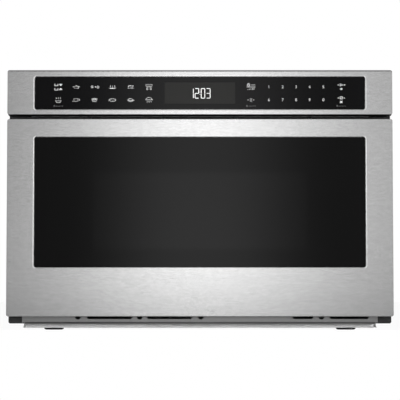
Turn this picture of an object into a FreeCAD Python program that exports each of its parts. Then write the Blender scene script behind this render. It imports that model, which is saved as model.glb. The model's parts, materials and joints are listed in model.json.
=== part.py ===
import FreeCAD, Part
import math
import os
from FreeCAD import Vector

# Built-in drawer microwave for a 24 inch cabinet opening.
# The origin lies on the shelf plane under the middle of the product. +X points to the viewer's
# right, +Y towards the wall and +Z up, so the front faces -Y. All sizes are millimetres.

# Steel front: a fixed control fascia above a drawer front
FRONT_WIDTH = 606.0
FRONT_CLEAR = 22.0
DRAWER_FRONT_HEIGHT = 310.3
FRONT_GAP = 6.8
FASCIA_HEIGHT = 70.4
SEAT_DEPTH = 30.0
SKIN_SHEET = 1.2
SKIN_DEPTH = 22.0
SKIN_CORNER = 3.0
SKIN_EDGE = 2.4
FRONT_COVER = 10.8

# Black glass set into pockets of the steel front
GLASS_WIDTH = 520.0
GLASS_THICK = 4.0
GLASS_RECESS = 0.5
GLASS_GAP = 0.8
GLASS_CORNER = 3.2
GLASS_ARRIS = 0.5
LEDGE = 8.0
WINDOW_HEIGHT = 205.0
WINDOW_DROP = 28.75
KEYPAD_HEIGHT = 51.6
KEYPAD_DROP = 10.7

# Drawer tub, whose inside is the cooking space. Its width and height are what the front leaves
TUB_INNER_DEPTH = 421.0
TUB_WALL = 3.5
TUB_CORNER = 14.0
TUB_RIM_WIDTH = 6.0
TUB_RIM_THICK = 3.0
FLOOR_PLATE_THICK = 4.0
FLOOR_PLATE_GAP = 1.0
DRAWER_TRAVEL = 380.0

# Oven cavity around the tub
CAVITY_SHEET = 1.0
RIM_TO_CAVITY = 6.5
TUB_TO_CAVITY_FLOOR = 8.0
TUB_TO_CAVITY_BACK = 28.0
HEADROOM = 28.0
PERFORATION_WIDTH = 5.0
CAVITY_LIP = 11.0
CAVITY_LEG_WIDTH = 50.0
CAVITY_LEG_INSET = 60.0

# Chassis bays around the cavity
CASE_SHEET = 1.0
BULKHEAD_SHEET = 1.2
RAIL_BAY = 41.5
DRIVE_BAY = 65.0
SERVICE_BAY = 70.0
REAR_BAY = 146.0

# Base pan with its flared skirt, and the feet
PAN_SHEET = 1.2
WEB_SETBACK = 12.0
WEB_HEIGHT = 4.0
SKIRT_CLEAR = 3.6
REAR_SKIRT_CLEAR = 5.6
FRONT_FLARE = 6.0
SIDE_FLARE = 1.4
CORNER_RELIEF = 3.0
FOOT_HEIGHT = 10.8
FOOT_RADIUS = 16.0
FOOT_INSET = 45.2
FOOT_FRONT_SETBACK = 76.0
FOOT_REAR_SETBACK = 60.0
INTAKE_X = 95.0
INTAKE_LENGTH = 60.0
INTAKE_WIDTH = 5.0
INTAKE_PITCH = 16.0
INTAKE_MARGIN = 20.0

# Cabinet flanges with their screw holes
FLANGE_SHEET = 2.0
FLANGE_INSET = 0.5
FLANGE_REACH = 23.0
FLANGE_DROP = 1.5
FLANGE_TOP_DROP = 9.5
FLANGE_CORNER = 2.0
FLANGE_LEG = 26.0
FLANGE_LAP = 16.0
SCREW_HOLE_RADIUS = 2.75
SCREW_HOLE_RISE = 88.0
SCREW_HOLE_PITCH = 200.0

# Front bulkhead: four slots show in the gap between the fronts, placed as shares of the half width
BULKHEAD_RETURN = 16.0
NOTCH_CLEAR = 3.0
VENT_LAP = 6.0
GAP_SLOT_SHARES = (0.2039, 0.6261)
GAP_SLOT_WIDTH = 6.0
GAP_SLOT_HEIGHT = 2.6
GAP_SLOT_DROP = 0.2

# Vent panel under the drawer front: hole middles and slot ends as shares of the half width
VENT_SHEET = 1.2
VENT_HEIGHT = 28.0
VENT_LINE_DROP = 0.6
VENT_OVERLAP = 1.3
VENT_RETURN_INSET = 1.5
VENT_HOLE_RADIUS = 4.5
VENT_SLOT_HEIGHT = 7.7
VENT_SLOT_CORNER = 2.0
VENT_RETURN_DEPTH = 26.0
VENT_HOLE_SHARES = (-0.6898, -0.3403, 0.0057, 0.6869)
VENT_SLOT_SHARES = ((-0.6383, -0.3843), (-0.2984, -0.0444), (0.5234, 0.6401), (0.7342, 0.9535))

# Door behind the drawer's steel skin
PANEL_SHEET = 1.2
PANEL_INSET = 1.5
VIEW_WIDTH = 334.0
VIEW_HEIGHT = 120.0
VIEW_DROP = 85.0
VIEW_LAP = 12.0
SCREEN_SHEET = 0.6
SCREEN_GAP = 0.3
PANE_THICK = 3.0
CORE_WALL = 2.5
CORE_CLEAR = 0.6
CHOKE_REACH = 4.8
CHOKE_LAP = 4.0
CHOKE_SIDE = 24.0
CHOKE_DROP = 16.0
CHOKE_RISE = 22.0
CHOKE_CORNER = 8.0

# Telescopic slides: section heights are half heights about the slide's centre line
RAIL_SHEET = 1.2
RAIL_WIDTH = 12.2
RAIL_LIP = 6.0
RAIL_RISE = 56.0
RAIL_SETBACK = 2.0
RAIL_LENGTH = 420.0
OUTER_HALF = 23.0
MIDDLE_HALF = 17.0
INNER_HALF = 11.0
MIDDLE_SETBACK = 2.8
INNER_REACH = 8.8
INNER_FLANGE = 4.4
INNER_SHORT = 6.0
ROLLER_DIAMETER = 4.2
ROLLER_LENGTH = 4.0
ROLLER_INSET = 15.0
CAGE_SHEET = 0.8
CAGE_GAP = 0.4
OUTER_CAGE_SETBACK = 114.0
OUTER_CAGE_LENGTH = 205.0
INNER_CAGE_SETBACK = 144.0
INNER_CAGE_LENGTH = 170.0
RAIL_FOOT_SHEET = 2.0
RAIL_FOOT_HEIGHT = 60.0
RAIL_FOOT_LAP = 6.5
RAIL_FOOT_CLEAR = 2.5

# Rack and pinion that drive the drawer
GEAR_MODULE = 2.5
PINION_TEETH = 12
FLANK_POINTS = 4
RACK_ADDENDUM = 1.7
ROOT_CLEARANCE = 0.4
BACKLASH = 0.25
PRESSURE_ANGLE = math.radians(20.0)
RACK_X = 100.0
RACK_BODY = 8.0
RACK_RISE = 34.0
RACK_HEIGHT = 12.0
RACK_END = 3.0
RACK_FOOT_LEFT = 14.0
RACK_FOOT_RIGHT = 16.0
RACK_FOOT_SHEET = 3.0
RACK_FOOT_DROP = 8.0
RACK_FOOT_RISE = 2.0
PINION_SETBACK = 65.0
PINION_SHAFT_RADIUS = 4.0
PINION_SHAFT_DEPTH = 12.0
GEARBOX_HEIGHT = 28.0
GEARBOX_FOOT = 2.0
GEARBOX_LEFT = 36.0
GEARBOX_RIGHT = 13.0
GEARBOX_HALF_DEPTH = 24.0
GEARBOX_EAR = 11.0
GEARBOX_EAR_SHEET = 3.0
GEARBOX_CHAMFER = 3.0
MOTOR_RADIUS = 15.0
MOTOR_LENGTH = 46.0
MOTOR_LIFT = 1.5
MOTOR_SIDES = 20
GUIDE_BLOCK_WALL = 3.0
GUIDE_BLOCK_LENGTH = 36.0
RUNNING_GAP = 0.3
BEARING_GAP = 0.06

# Latches and their interlock switches
HOOK_INSET = 10.5
HOOK_DROP = 70.5
HOOK_WIDTH = 8.0
HOOK_HEIGHT = 16.0
HOOK_REACH = 36.0
HOOK_LEAD = 5.0
HOOK_NOSE = 3.0
HOOK_CATCH = 9.0
HOOK_NOTCH = 5.0
HOOK_ROOT = 3.0
HOOK_CLEAR = 1.5
LATCH_WALL = 2.5
LATCH_BODY = 26.0
PLUNGER_SIDE = 4.0
PLUNGER_GAP = 0.4
PLUNGER_REACH = 3.0
PLUNGER_LENGTH = 15.0
PLUNGER_TRAVEL = 2.0

# Microwave feed: waveguide, stirrer and magnetron
GUIDE_SHEET = 1.0
GUIDE_WIDTH = 84.0
GUIDE_HEIGHT = 42.0
GUIDE_FRONT = -110.0
GUIDE_REAR_GAP = 31.0
STIRRER_Y = -60.0
STIRRER_RADIUS = 78.0
STIRRER_SHEET = 1.5
STIRRER_DROP = 8.0
STIRRER_HUB_RADIUS = 12.0
STIRRER_ARM_WIDTH = 18.0
PADDLE_WIDTH = 48.0
PADDLE_LENGTH = 26.0
PADDLE_INSET = 8.0
STIRRER_SHAFT_RADIUS = 3.0
STIRRER_SHAFT_DEPTH = 9.0
STIRRER_PORT_RADIUS = 26.0
STIRRER_COVER_SHEET = 1.5
STIRRER_COVER_DROP = 15.0
STIRRER_COVER_GAP = 17.0
STIRRER_MOTOR_SIDE = 50.0
STIRRER_MOTOR_HEIGHT = 18.0
MAGNETRON_WIDTH = 92.0
MAGNETRON_DEPTH = 80.0
MAGNETRON_HEIGHT = 70.0
YOKE_SHEET = 1.6
ANODE_WIDTH = 40.0
ANTENNA_RADIUS = 7.5
ANTENNA_REACH = 24.0
ANTENNA_GAP = 3.0
FIN_COUNT = 6
FIN_SHEET = 0.8
FIN_MARGIN = 8.0
FILTER_BOX_HEIGHT = 34.0
FILTER_BOX_INSET = 12.0

# Cooling fan and its duct
FAN_X = -72.0
FAN_RADIUS = 58.0
FAN_MOUTH_SIDES = 24
FAN_HUB_SIDES = 12
FAN_GAP = 3.0
FAN_BLADES = 4
FAN_HUB_RADIUS = 17.0
FAN_DEPTH = 18.0
FAN_BLADE_WIDTH = 34.0
FAN_BLADE_SHEET = 1.8
FAN_PITCH = math.radians(28.0)
FAN_SHAFT_RADIUS = 3.0
FAN_SHAFT_DEPTH = 12.0
FAN_TO_MOTOR = 10.0
FAN_MOTOR_SIDE = 44.0
FAN_MOTOR_LENGTH = 24.0
FAN_COIL = 20.0
FAN_ARM = 3.0
FAN_PLATE_SHEET = 2.0
FAN_PLATE_HEIGHT = 130.0
FAN_POST = 6.0
DUCT_SHEET = 1.5
DUCT_WIDTH = 64.0
DUCT_GAP = 0.5

# High voltage supply and line filter on the base pan
CORE_WIDTH = 92.0
CORE_DEPTH = 56.0
CORE_HEIGHT = 80.0
CORE_LEG = 15.0
CORE_FOOT = 2.0
COIL_GAP = 0.4
COIL_CORNER = 9.0
COIL_SPLIT = 3.0
COIL_OVERHANG = 15.0
TRANSFORMER_INSET = 110.5
CAPACITOR_X = 47.0
CAPACITOR_WIDTH = 54.0
CAPACITOR_DEPTH = 34.0
CAPACITOR_HEIGHT = 96.0
CAPACITOR_CORNER = 10.0
TERMINAL_WIDTH = 6.4
TERMINAL_SHEET = 0.8
TERMINAL_HEIGHT = 9.0
STRAP_SHEET = 1.2
STRAP_HEIGHT = 14.0
STRAP_RISE = 30.0
FILTER_INSET = 108.5
FILTER_WIDTH = 110.0
FILTER_DEPTH = 74.0
CHOKE_COIL_RADIUS = 15.0
CHOKE_COIL_HEIGHT = 20.0
CHOKE_COIL_SIDES = 12
BOARD_THICK = 1.6
STANDOFF = 8.0
STANDOFF_HEIGHT = 10.0

# Control unit behind the keypad glass, with its relays as shares of the half width
CARRIER_WALL = 2.0
DISPLAY_WIDTH = 112.0
DISPLAY_HEIGHT = 34.0
DISPLAY_DEPTH = 8.0
CONTROL_BOARD_WIDTH = 470.0
CONTROL_BOARD_HEIGHT = 30.0
RELAY_SHARES = (-0.8085, -0.5957, 0.6383)
RELAY = 20.0
CARRIER_POST = 6.0

# Oven lamp, cord gland and case screws
LAMP_Y = 60.0
LAMP_RISE = 60.0
LAMP_HALF = 9.0
LAMP_LENS = 6.0
LAMP_BASE = 8.0
LAMP_CAN = 44.0
LAMP_DEPTH = 30.0
GLAND_INSET = 64.5
GLAND_RISE = 60.0
GLAND_BORE = 4.5
GLAND_NECK_RADIUS = 7.5
GLAND_CLEAR = 0.2
GLAND_HEX_RADIUS = 13.0
GLAND_REACH = 12.8
GLAND_NUT = 5.0
SCREW_HEAD_RADIUS = 4.0
SCREW_HEAD_HEIGHT = 2.4
SCREW_REACH = 6.0
SCREW_SHANK_RADIUS = 1.9
CLIP_HOLE = 5.0
SCREW_MARGIN = 40.0
SCREW_RETURN = 14.0
SPACER_WIDTH = 40.0
SPACER_INSET = 70.0
SPACER_DROP = 30.0
SPACER_HEIGHT = 12.0
SPACER_SHORT = 2.8
EXHAUST_WIDTH = 5.0
EXHAUST_PITCH = 12.0
EXHAUST_COUNT = 8
EXHAUST_HEIGHT = 90.0
PRESSING_HEIGHT = 1.0
PRESSING_MARGIN = 60.0
PRESSING_CORNER = 12.0

# Heights from the shelf up to the tub's floor plate
Z_FLOOR = FOOT_HEIGHT + PAN_SHEET
Z_CAVITY_OUT = Z_FLOOR + DRIVE_BAY
Z_CAVITY = Z_CAVITY_OUT + CAVITY_SHEET
Z_TUB = Z_CAVITY + TUB_TO_CAVITY_FLOOR
Z_TUB_FLOOR = Z_TUB + TUB_WALL
Z_PLATE = Z_TUB_FLOOR + FLOOR_PLATE_THICK

# Heights set by the drawer front, which covers the choke ring round the cavity
Z_DRAWER = (FRONT_CLEAR, FRONT_CLEAR + DRAWER_FRONT_HEIGHT)
Z_CEILING = Z_DRAWER[1] - FRONT_COVER - CHOKE_RISE
Z_CEILING_OUT = Z_CEILING + CAVITY_SHEET
Z_RIM = Z_CEILING - HEADROOM
Z_TOP_IN = Z_CEILING_OUT + SERVICE_BAY
Z_TOP = Z_TOP_IN + CASE_SHEET
Z_FASCIA = (Z_DRAWER[1] + FRONT_GAP, Z_DRAWER[1] + FRONT_GAP + FASCIA_HEIGHT)
Z_FLANGE = (Z_FLOOR - FLANGE_DROP, Z_FASCIA[1] - FLANGE_TOP_DROP)
Z_SCREWS = (Z_FLOOR + SCREW_HOLE_RISE, Z_FLOOR + SCREW_HOLE_RISE + SCREW_HOLE_PITCH)
Z_VENT = (Z_FLOOR, Z_FLOOR + VENT_HEIGHT)
Z_VENT_LINE = Z_DRAWER[0] - VENT_LINE_DROP
Z_RAIL = Z_FLOOR + RAIL_RISE
Z_HOOK = Z_TOP_IN - HOOK_DROP

# Half widths, from the front's edge inwards
X_FLANGE = FRONT_WIDTH / 2 - FLANGE_INSET
X_CASE = X_FLANGE - FLANGE_REACH
X_CASE_IN = X_CASE - CASE_SHEET
X_BULKHEAD = X_CASE - FLANGE_SHEET
X_CAVITY_OUT = X_CASE_IN - RAIL_BAY
X_CAVITY = X_CAVITY_OUT - CAVITY_SHEET
X_TUB = X_CAVITY - RIM_TO_CAVITY - TUB_RIM_WIDTH
X_TUB_IN = X_TUB - TUB_WALL
X_FOOT = X_CASE - FOOT_INSET
X_HOOK = X_CASE_IN - HOOK_INSET
X_TRANSFORMER = X_CASE_IN - TRANSFORMER_INSET
X_FILTER = FILTER_INSET - X_CASE_IN
X_GLAND = GLAND_INSET - X_CASE

# Depths, from the front face back to the cord gland
STACK = (SKIN_DEPTH, PANEL_SHEET, TUB_WALL, TUB_INNER_DEPTH, TUB_WALL, TUB_TO_CAVITY_BACK,
         CAVITY_SHEET, REAR_BAY, CASE_SHEET, GLAND_REACH)
Y_FRONT = -sum(STACK) / 2
Y_PANEL = Y_FRONT + SKIN_DEPTH
Y_DOOR = Y_PANEL + PANEL_SHEET
Y_TUB_IN = Y_DOOR + TUB_WALL
Y_TUB_BACK = Y_TUB_IN + TUB_INNER_DEPTH + TUB_WALL
Y_CAVITY_BACK = Y_TUB_BACK + TUB_TO_CAVITY_BACK
Y_BAY = Y_CAVITY_BACK + CAVITY_SHEET
Y_REAR_IN = Y_BAY + REAR_BAY
Y_REAR = Y_REAR_IN + CASE_SHEET
Y_GLASS = Y_FRONT + GLASS_RECESS
Y_POCKET = Y_GLASS + GLASS_THICK
Y_LEDGE = Y_POCKET + SKIN_SHEET
Y_SEAT = Y_FRONT + SEAT_DEPTH
Y_BULKHEAD = Y_SEAT + BULKHEAD_SHEET
Y_CABINET = Y_SEAT + FLANGE_SHEET
Y_LAP = Y_CABINET + FLANGE_LEG
Y_WEB = Y_SEAT + WEB_SETBACK
Y_RAIL = Y_LAP + FLANGE_LAP + RAIL_SETBACK
BAY_MIDDLE = (Y_BAY + Y_REAR_IN) / 2

# Glass outlines and the view through the drawer's door
X_GLASS = GLASS_WIDTH / 2
Z_WINDOW = (Z_DRAWER[1] - WINDOW_DROP - WINDOW_HEIGHT, Z_DRAWER[1] - WINDOW_DROP)
Z_KEYPAD = (Z_FASCIA[1] - KEYPAD_DROP - KEYPAD_HEIGHT, Z_FASCIA[1] - KEYPAD_DROP)
X_VIEW = VIEW_WIDTH / 2
Z_VIEW = (Z_DRAWER[1] - VIEW_DROP - VIEW_HEIGHT, Z_DRAWER[1] - VIEW_DROP)

# Slide, drive and feed positions
PITCH_RADIUS = GEAR_MODULE * PINION_TEETH / 2
PITCH_STEP = math.pi * GEAR_MODULE
Y_PINION = Y_SEAT + PINION_SETBACK
X_PITCH = RACK_X - RACK_BODY / 2
X_PINION = X_PITCH - PITCH_RADIUS
Z_RACK = (Z_FLOOR + RACK_RISE, Z_FLOOR + RACK_RISE + RACK_HEIGHT)
Z_GEARBOX = Z_FLOOR + GEARBOX_FOOT + GEARBOX_HEIGHT
Z_GUIDE = (Z_CEILING_OUT, Z_CEILING_OUT + GUIDE_HEIGHT)
Y_GUIDE = (GUIDE_FRONT, Y_REAR_IN - GUIDE_REAR_GAP)
Y_MAGNETRON = BAY_MIDDLE
Z_MAGNETRON = (Z_CEILING_OUT - MAGNETRON_HEIGHT, Z_CEILING_OUT)
Z_FAN = (Z_MAGNETRON[0] + Z_MAGNETRON[1]) / 2
X_DUCT = (MAGNETRON_WIDTH / 2 + DUCT_GAP, MAGNETRON_WIDTH / 2 + DUCT_GAP + DUCT_WIDTH)


def block(x, y, z):
    """A box between three (low, high) pairs."""
    return Part.makeBox(x[1] - x[0], y[1] - y[0], z[1] - z[0], Vector(x[0], y[0], z[0]))


def both_sides(half):
    """The (low, high) pair of a width centred on the product's middle."""
    return (-half, half)


def grown(pair, by):
    """A (low, high) pair moved out at both ends, or in where by is negative."""
    return (pair[0] - by, pair[1] + by)


def round_outline(x, z, radius):
    """Closed wire of a rounded rectangle standing in the XZ plane at y = 0."""
    middle = radius * (1 - math.sqrt(0.5))
    corners = ((x[1], z[0], -1, 1), (x[1], z[1], -1, -1), (x[0], z[1], 1, -1), (x[0], z[0], 1, 1))
    arcs = []
    for number, (cx, cz, dx, dz) in enumerate(corners):
        along_x = Vector(cx + dx * radius, 0, cz)
        along_z = Vector(cx, 0, cz + dz * radius)
        bend = Vector(cx + dx * middle, 0, cz + dz * middle)
        ends = (along_x, along_z) if number % 2 == 0 else (along_z, along_x)
        arcs.append((ends[0], bend, ends[1]))
    edges = []
    for number, (start, bend, end) in enumerate(arcs):
        edges.append(Part.Arc(start, bend, end).toShape())
        edges.append(Part.LineSegment(end, arcs[(number + 1) % 4][0]).toShape())
    return Part.Wire(edges)


def round_block(x, y, z, radius):
    """A box whose four edges along Y are rounded."""
    face = Part.Face(round_outline(x, z, radius))
    face.translate(Vector(0, y[0], 0))
    return face.extrude(Vector(0, y[1] - y[0], 0))


def upright_block(x, y, z, radius):
    """A box whose four upright edges are rounded."""
    outline = round_outline(x, y, radius)
    outline.rotate(Vector(0, 0, 0), Vector(1, 0, 0), -90)
    face = Part.Face(outline)
    face.translate(Vector(0, 0, z[0]))
    return face.extrude(Vector(0, 0, z[1] - z[0]))


def prism_y(points, y):
    """A polygon of (x, z) points drawn out along Y."""
    corners = [Vector(x, y[0], z) for x, z in points]
    face = Part.Face(Part.makePolygon(corners + corners[:1]))
    return face.extrude(Vector(0, y[1] - y[0], 0))


def prism_x(points, x):
    """A polygon of (y, z) points drawn out along X."""
    corners = [Vector(x[0], y, z) for y, z in points]
    face = Part.Face(Part.makePolygon(corners + corners[:1]))
    return face.extrude(Vector(x[1] - x[0], 0, 0))


def prism_z(points, z):
    """A polygon of (x, y) points drawn out along Z."""
    corners = [Vector(x, y, z[0]) for x, y in points]
    face = Part.Face(Part.makePolygon(corners + corners[:1]))
    return face.extrude(Vector(0, 0, z[1] - z[0]))


def cut_corners(first, second, cut):
    """Outline of a rectangle between two (low, high) pairs with its corners cut off."""
    return [(first[0] + cut, second[0]), (first[1] - cut, second[0]), (first[1], second[0] + cut),
            (first[1], second[1] - cut), (first[1] - cut, second[1]), (first[0] + cut, second[1]),
            (first[0], second[1] - cut), (first[0], second[0] + cut)]


def polygon(sides, radius, first, second):
    """Corners of a regular polygon about a middle given by two coordinates."""
    angles = [2 * math.pi * number / sides for number in range(sides)]
    return [(first + radius * math.cos(angle), second + radius * math.sin(angle)) for angle in angles]


def rod_x(radius, x, y, z):
    """A cylinder along X between the pair x."""
    return Part.makeCylinder(radius, x[1] - x[0], Vector(x[0], y, z), Vector(1, 0, 0))


def rod_y(radius, x, y, z):
    """A cylinder along Y between the pair y."""
    return Part.makeCylinder(radius, y[1] - y[0], Vector(x, y[0], z), Vector(0, 1, 0))


def rod_z(radius, x, y, z):
    """A cylinder along Z between the pair z."""
    return Part.makeCylinder(radius, z[1] - z[0], Vector(x, y, z[0]), Vector(0, 0, 1))


def fused(shapes):
    """One solid from pieces that touch or overlap."""
    return shapes[0].fuse(shapes[1:]).removeSplitter()


def mirrored(shape):
    """The same piece on the other side of the product's middle."""
    return shape.mirror(Vector(0, 0, 0), Vector(1, 0, 0))


def edges_at_depth(shape, y):
    """The edges that lie wholly in the plane at depth y."""
    found = []
    for edge in shape.Edges:
        box = edge.BoundBox
        if abs(box.YMin - y) < 0.001 and abs(box.YMax - y) < 0.001:
            found.append(edge)
    return found


def ring_y(x, y, z, inner_x, inner_z, radius):
    """A frame facing along Y with rounded outer corners."""
    return round_block(x, y, z, radius).cut(block(inner_x, grown(y, 1.0), inner_z))


# Steel front

def steel_pan(z, pocket_z):
    """Folded steel front with a recessed pocket for a glass, and a ledge the glass rests on."""
    half = FRONT_WIDTH / 2
    skin = round_block(both_sides(half), (Y_FRONT, Y_PANEL), z, SKIN_CORNER)
    skin = skin.makeFillet(SKIN_EDGE, edges_at_depth(skin, Y_FRONT))
    hollow = block(both_sides(half - SKIN_SHEET), (Y_FRONT + SKIN_SHEET, Y_PANEL + 1.0),
                   grown(z, -SKIN_SHEET))
    wide = X_GLASS + GLASS_GAP
    tall = grown(pocket_z, GLASS_GAP)
    collar = block(both_sides(wide + SKIN_SHEET), (Y_FRONT + SKIN_SHEET / 2, Y_LEDGE),
                   grown(tall, SKIN_SHEET))
    pocket = round_block(both_sides(wide), (Y_FRONT - 1.0, Y_POCKET), tall,
                         GLASS_CORNER + GLASS_GAP)
    window = block(both_sides(X_GLASS - LEDGE), (Y_FRONT, Y_LEDGE + 1.0), grown(pocket_z, -LEDGE))
    return skin.cut(hollow).fuse(collar).cut(pocket).cut(window).removeSplitter()


def front_glass(pocket_z):
    """Flat black glass with a ground arris round its face."""
    glass = round_block(both_sides(X_GLASS), (Y_GLASS, Y_POCKET), pocket_z, GLASS_CORNER)
    return glass.makeChamfer(GLASS_ARRIS, edges_at_depth(glass, Y_GLASS))


def window_screen():
    """Metal screen sheet behind the drawer's glass."""
    inset = LEDGE + SCREEN_GAP
    return block(both_sides(X_GLASS - inset), (Y_POCKET, Y_POCKET + SCREEN_SHEET),
                 grown(Z_WINDOW, -inset))


def door_core_frame():
    """Plastic trough that fills the drawer front and backs the ledge of the glass."""
    half = FRONT_WIDTH / 2 - SKIN_SHEET - CORE_CLEAR
    tall = grown(Z_DRAWER, -SKIN_SHEET - CORE_CLEAR)
    body = block(both_sides(half), (Y_LEDGE, Y_PANEL), tall)
    back = (Y_LEDGE + CORE_WALL, Y_PANEL + 1.0)
    trough = block(both_sides(half - CORE_WALL), back, grown(tall, -CORE_WALL))
    inner = X_GLASS - LEDGE
    keep = block(both_sides(inner + CORE_WALL), back, grown(Z_WINDOW, CORE_WALL - LEDGE))
    window = block(both_sides(inner), (Y_FRONT, Y_PANEL + 1.0), grown(Z_WINDOW, -LEDGE))
    return body.cut(trough.cut(keep)).cut(window)


def door_back_plate():
    """Painted sheet that closes the drawer front, with the viewing hole."""
    half = FRONT_WIDTH / 2 - PANEL_INSET
    return ring_y(both_sides(half), (Y_PANEL, Y_DOOR), grown(Z_DRAWER, -PANEL_INSET),
                  both_sides(X_VIEW), Z_VIEW, SKIN_CORNER)


def inner_window():
    """Clear pane on the front of the door's back plate."""
    return block(both_sides(X_VIEW + VIEW_LAP), (Y_PANEL - PANE_THICK, Y_PANEL),
                 grown(Z_VIEW, VIEW_LAP))


def choke_cover():
    """Plastic ring over the microwave choke, facing the cavity's front."""
    outer_z = (Z_CAVITY - CHOKE_DROP, Z_CEILING + CHOKE_RISE)
    inner_z = (Z_CAVITY + CHOKE_LAP, Z_CEILING - CHOKE_LAP)
    return ring_y(both_sides(X_CAVITY + CHOKE_SIDE), (Y_DOOR, Y_DOOR + CHOKE_REACH), outer_z,
                  both_sides(X_CAVITY - CHOKE_LAP), inner_z, CHOKE_CORNER)


# Drawer tub

def drawer_tub():
    """Rimmed tub with a viewing hole in its front wall."""
    outer = upright_block(both_sides(X_TUB), (Y_DOOR, Y_TUB_BACK), (Z_TUB, Z_RIM), TUB_CORNER)
    rim = upright_block(both_sides(X_TUB + TUB_RIM_WIDTH), (Y_DOOR, Y_TUB_BACK + TUB_RIM_WIDTH),
                        (Z_RIM - TUB_RIM_THICK, Z_RIM), TUB_CORNER)
    inner = upright_block(both_sides(X_TUB_IN), (Y_TUB_IN, Y_TUB_BACK - TUB_WALL),
                          (Z_TUB_FLOOR, Z_RIM + 1.0), TUB_CORNER - TUB_WALL)
    view = block(both_sides(X_VIEW), (Y_DOOR - 1.0, Y_TUB_IN + 1.0), Z_VIEW)
    return outer.fuse(rim).removeSplitter().cut(inner).cut(view)


def tub_floor_plate():
    """Glass-ceramic plate on the tub's floor."""
    return upright_block(both_sides(X_TUB_IN - FLOOR_PLATE_GAP),
                         (Y_TUB_IN + FLOOR_PLATE_GAP, Y_TUB_BACK - TUB_WALL - FLOOR_PLATE_GAP),
                         (Z_TUB_FLOOR, Z_PLATE), TUB_CORNER - TUB_WALL - FLOOR_PLATE_GAP)


# Slides

def rail_points(section):
    """Points given as (distance in from the case side, height about the slide's line)."""
    return [(X_CASE_IN - inward, Z_RAIL + up) for inward, up in section]


def outer_rail():
    """Lipped channel fixed to the case side."""
    wall = RAIL_SHEET
    wide = RAIL_WIDTH
    tall = OUTER_HALF
    lip = OUTER_HALF - RAIL_LIP
    upper = [(0, tall), (wide, tall), (wide, lip), (wide - wall, lip), (wide - wall, tall - wall),
             (wall, tall - wall)]
    lower = [(inward, -up) for inward, up in reversed(upper)]
    return prism_y(rail_points(upper + lower), (Y_RAIL, Y_RAIL + RAIL_LENGTH))


def middle_rail():
    """Channel that runs half the drawer's travel."""
    near = MIDDLE_SETBACK
    wall = RAIL_SHEET
    tall = MIDDLE_HALF
    end = INNER_REACH + CAGE_SHEET
    upper = [(near, tall), (end, tall), (end, tall - wall), (near + wall, tall - wall)]
    lower = [(inward, -up) for inward, up in reversed(upper)]
    return prism_y(rail_points(upper + lower), (Y_RAIL, Y_RAIL + RAIL_LENGTH))


def inner_rail():
    """Channel on the drawer, with the foot that bolts to the door's back plate."""
    far = INNER_REACH + RAIL_SHEET
    tall = INNER_HALF
    wall = RAIL_SHEET
    tip = far - INNER_FLANGE
    upper = [(far, tall), (tip, tall), (tip, tall - wall), (far - wall, tall - wall)]
    lower = [(inward, -up) for inward, up in reversed(upper)]
    channel = prism_y(rail_points(upper + lower), (Y_DOOR, Y_RAIL + RAIL_LENGTH - INNER_SHORT))
    foot_x = (X_CASE_IN - far - RAIL_FOOT_LAP, X_CASE_IN - RAIL_FOOT_CLEAR)
    foot = block(foot_x, (Y_DOOR, Y_DOOR + RAIL_FOOT_SHEET),
                 (Z_RAIL - RAIL_FOOT_HEIGHT / 2, Z_RAIL + RAIL_FOOT_HEIGHT / 2))
    return fused([channel, foot])


def roller_cage(near, half, y):
    """Folded cage strip with the two loaded rollers: low at the front, high at the rear."""
    wall = CAGE_SHEET
    arm = MIDDLE_SETBACK + CAGE_GAP
    upper = [(near, half), (near + arm, half), (near + arm, half - wall), (near + wall, half - wall)]
    lower = [(inward, -up) for inward, up in reversed(upper)]
    pieces = [prism_y(rail_points(upper + lower), y)]
    x = (X_CASE_IN - near - arm - ROLLER_LENGTH, X_CASE_IN - near - arm)
    for place, side in ((y[0] + ROLLER_INSET, -1), (y[1] - ROLLER_INSET, 1)):
        height = Z_RAIL + side * (half - wall / 2)
        pieces.append(rod_x(ROLLER_DIAMETER / 2, x, place, height))
    return fused(pieces)


def outer_roller_cage():
    """Cage between the outer and the middle rail."""
    half = (OUTER_HALF - RAIL_SHEET + MIDDLE_HALF + CAGE_SHEET) / 2
    start = Y_RAIL + OUTER_CAGE_SETBACK
    return roller_cage(RAIL_SHEET + CAGE_GAP, half, (start, start + OUTER_CAGE_LENGTH))


def inner_roller_cage():
    """Cage between the middle and the inner rail."""
    half = (MIDDLE_HALF - RAIL_SHEET + INNER_HALF + CAGE_SHEET) / 2
    start = Y_RAIL + INNER_CAGE_SETBACK
    return roller_cage(MIDDLE_SETBACK + RAIL_SHEET + CAGE_GAP, half,
                       (start, start + INNER_CAGE_LENGTH))


# Rack and pinion drive

def drawer_rack():
    """Straight rack under the tub, bolted to the door's back plate by its foot."""
    tip = X_PITCH - RACK_ADDENDUM
    root = X_PITCH + GEAR_MODULE + ROOT_CLEARANCE
    back = RACK_X + RACK_BODY / 2
    slope = math.tan(PRESSURE_ANGLE)
    half_tooth = PITCH_STEP / 4 - BACKLASH / 4
    tip_half = half_tooth - RACK_ADDENDUM * slope
    root_half = half_tooth + (root - X_PITCH) * slope
    teeth = int((DRAWER_TRAVEL + 7 * PITCH_STEP) / PITCH_STEP)
    points = []
    for number in range(teeth):
        y = Y_PINION + (number - 3 + 0.5) * PITCH_STEP
        points += [(root, y - root_half), (tip, y - tip_half), (tip, y + tip_half),
                   (root, y + root_half)]
    y_end = points[-1][1] + RACK_END
    outline = [(back, y_end), (back, Y_DOOR), (root, Y_DOOR)] + points + [(root, y_end)]
    bar = prism_z(outline, Z_RACK)
    foot = block((RACK_X - RACK_FOOT_LEFT, RACK_X + RACK_FOOT_RIGHT),
                 (Y_DOOR, Y_DOOR + RACK_FOOT_SHEET),
                 (Z_RACK[0] - RACK_FOOT_DROP, Z_RACK[1] + RACK_FOOT_RISE))
    return fused([bar, foot])


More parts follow.
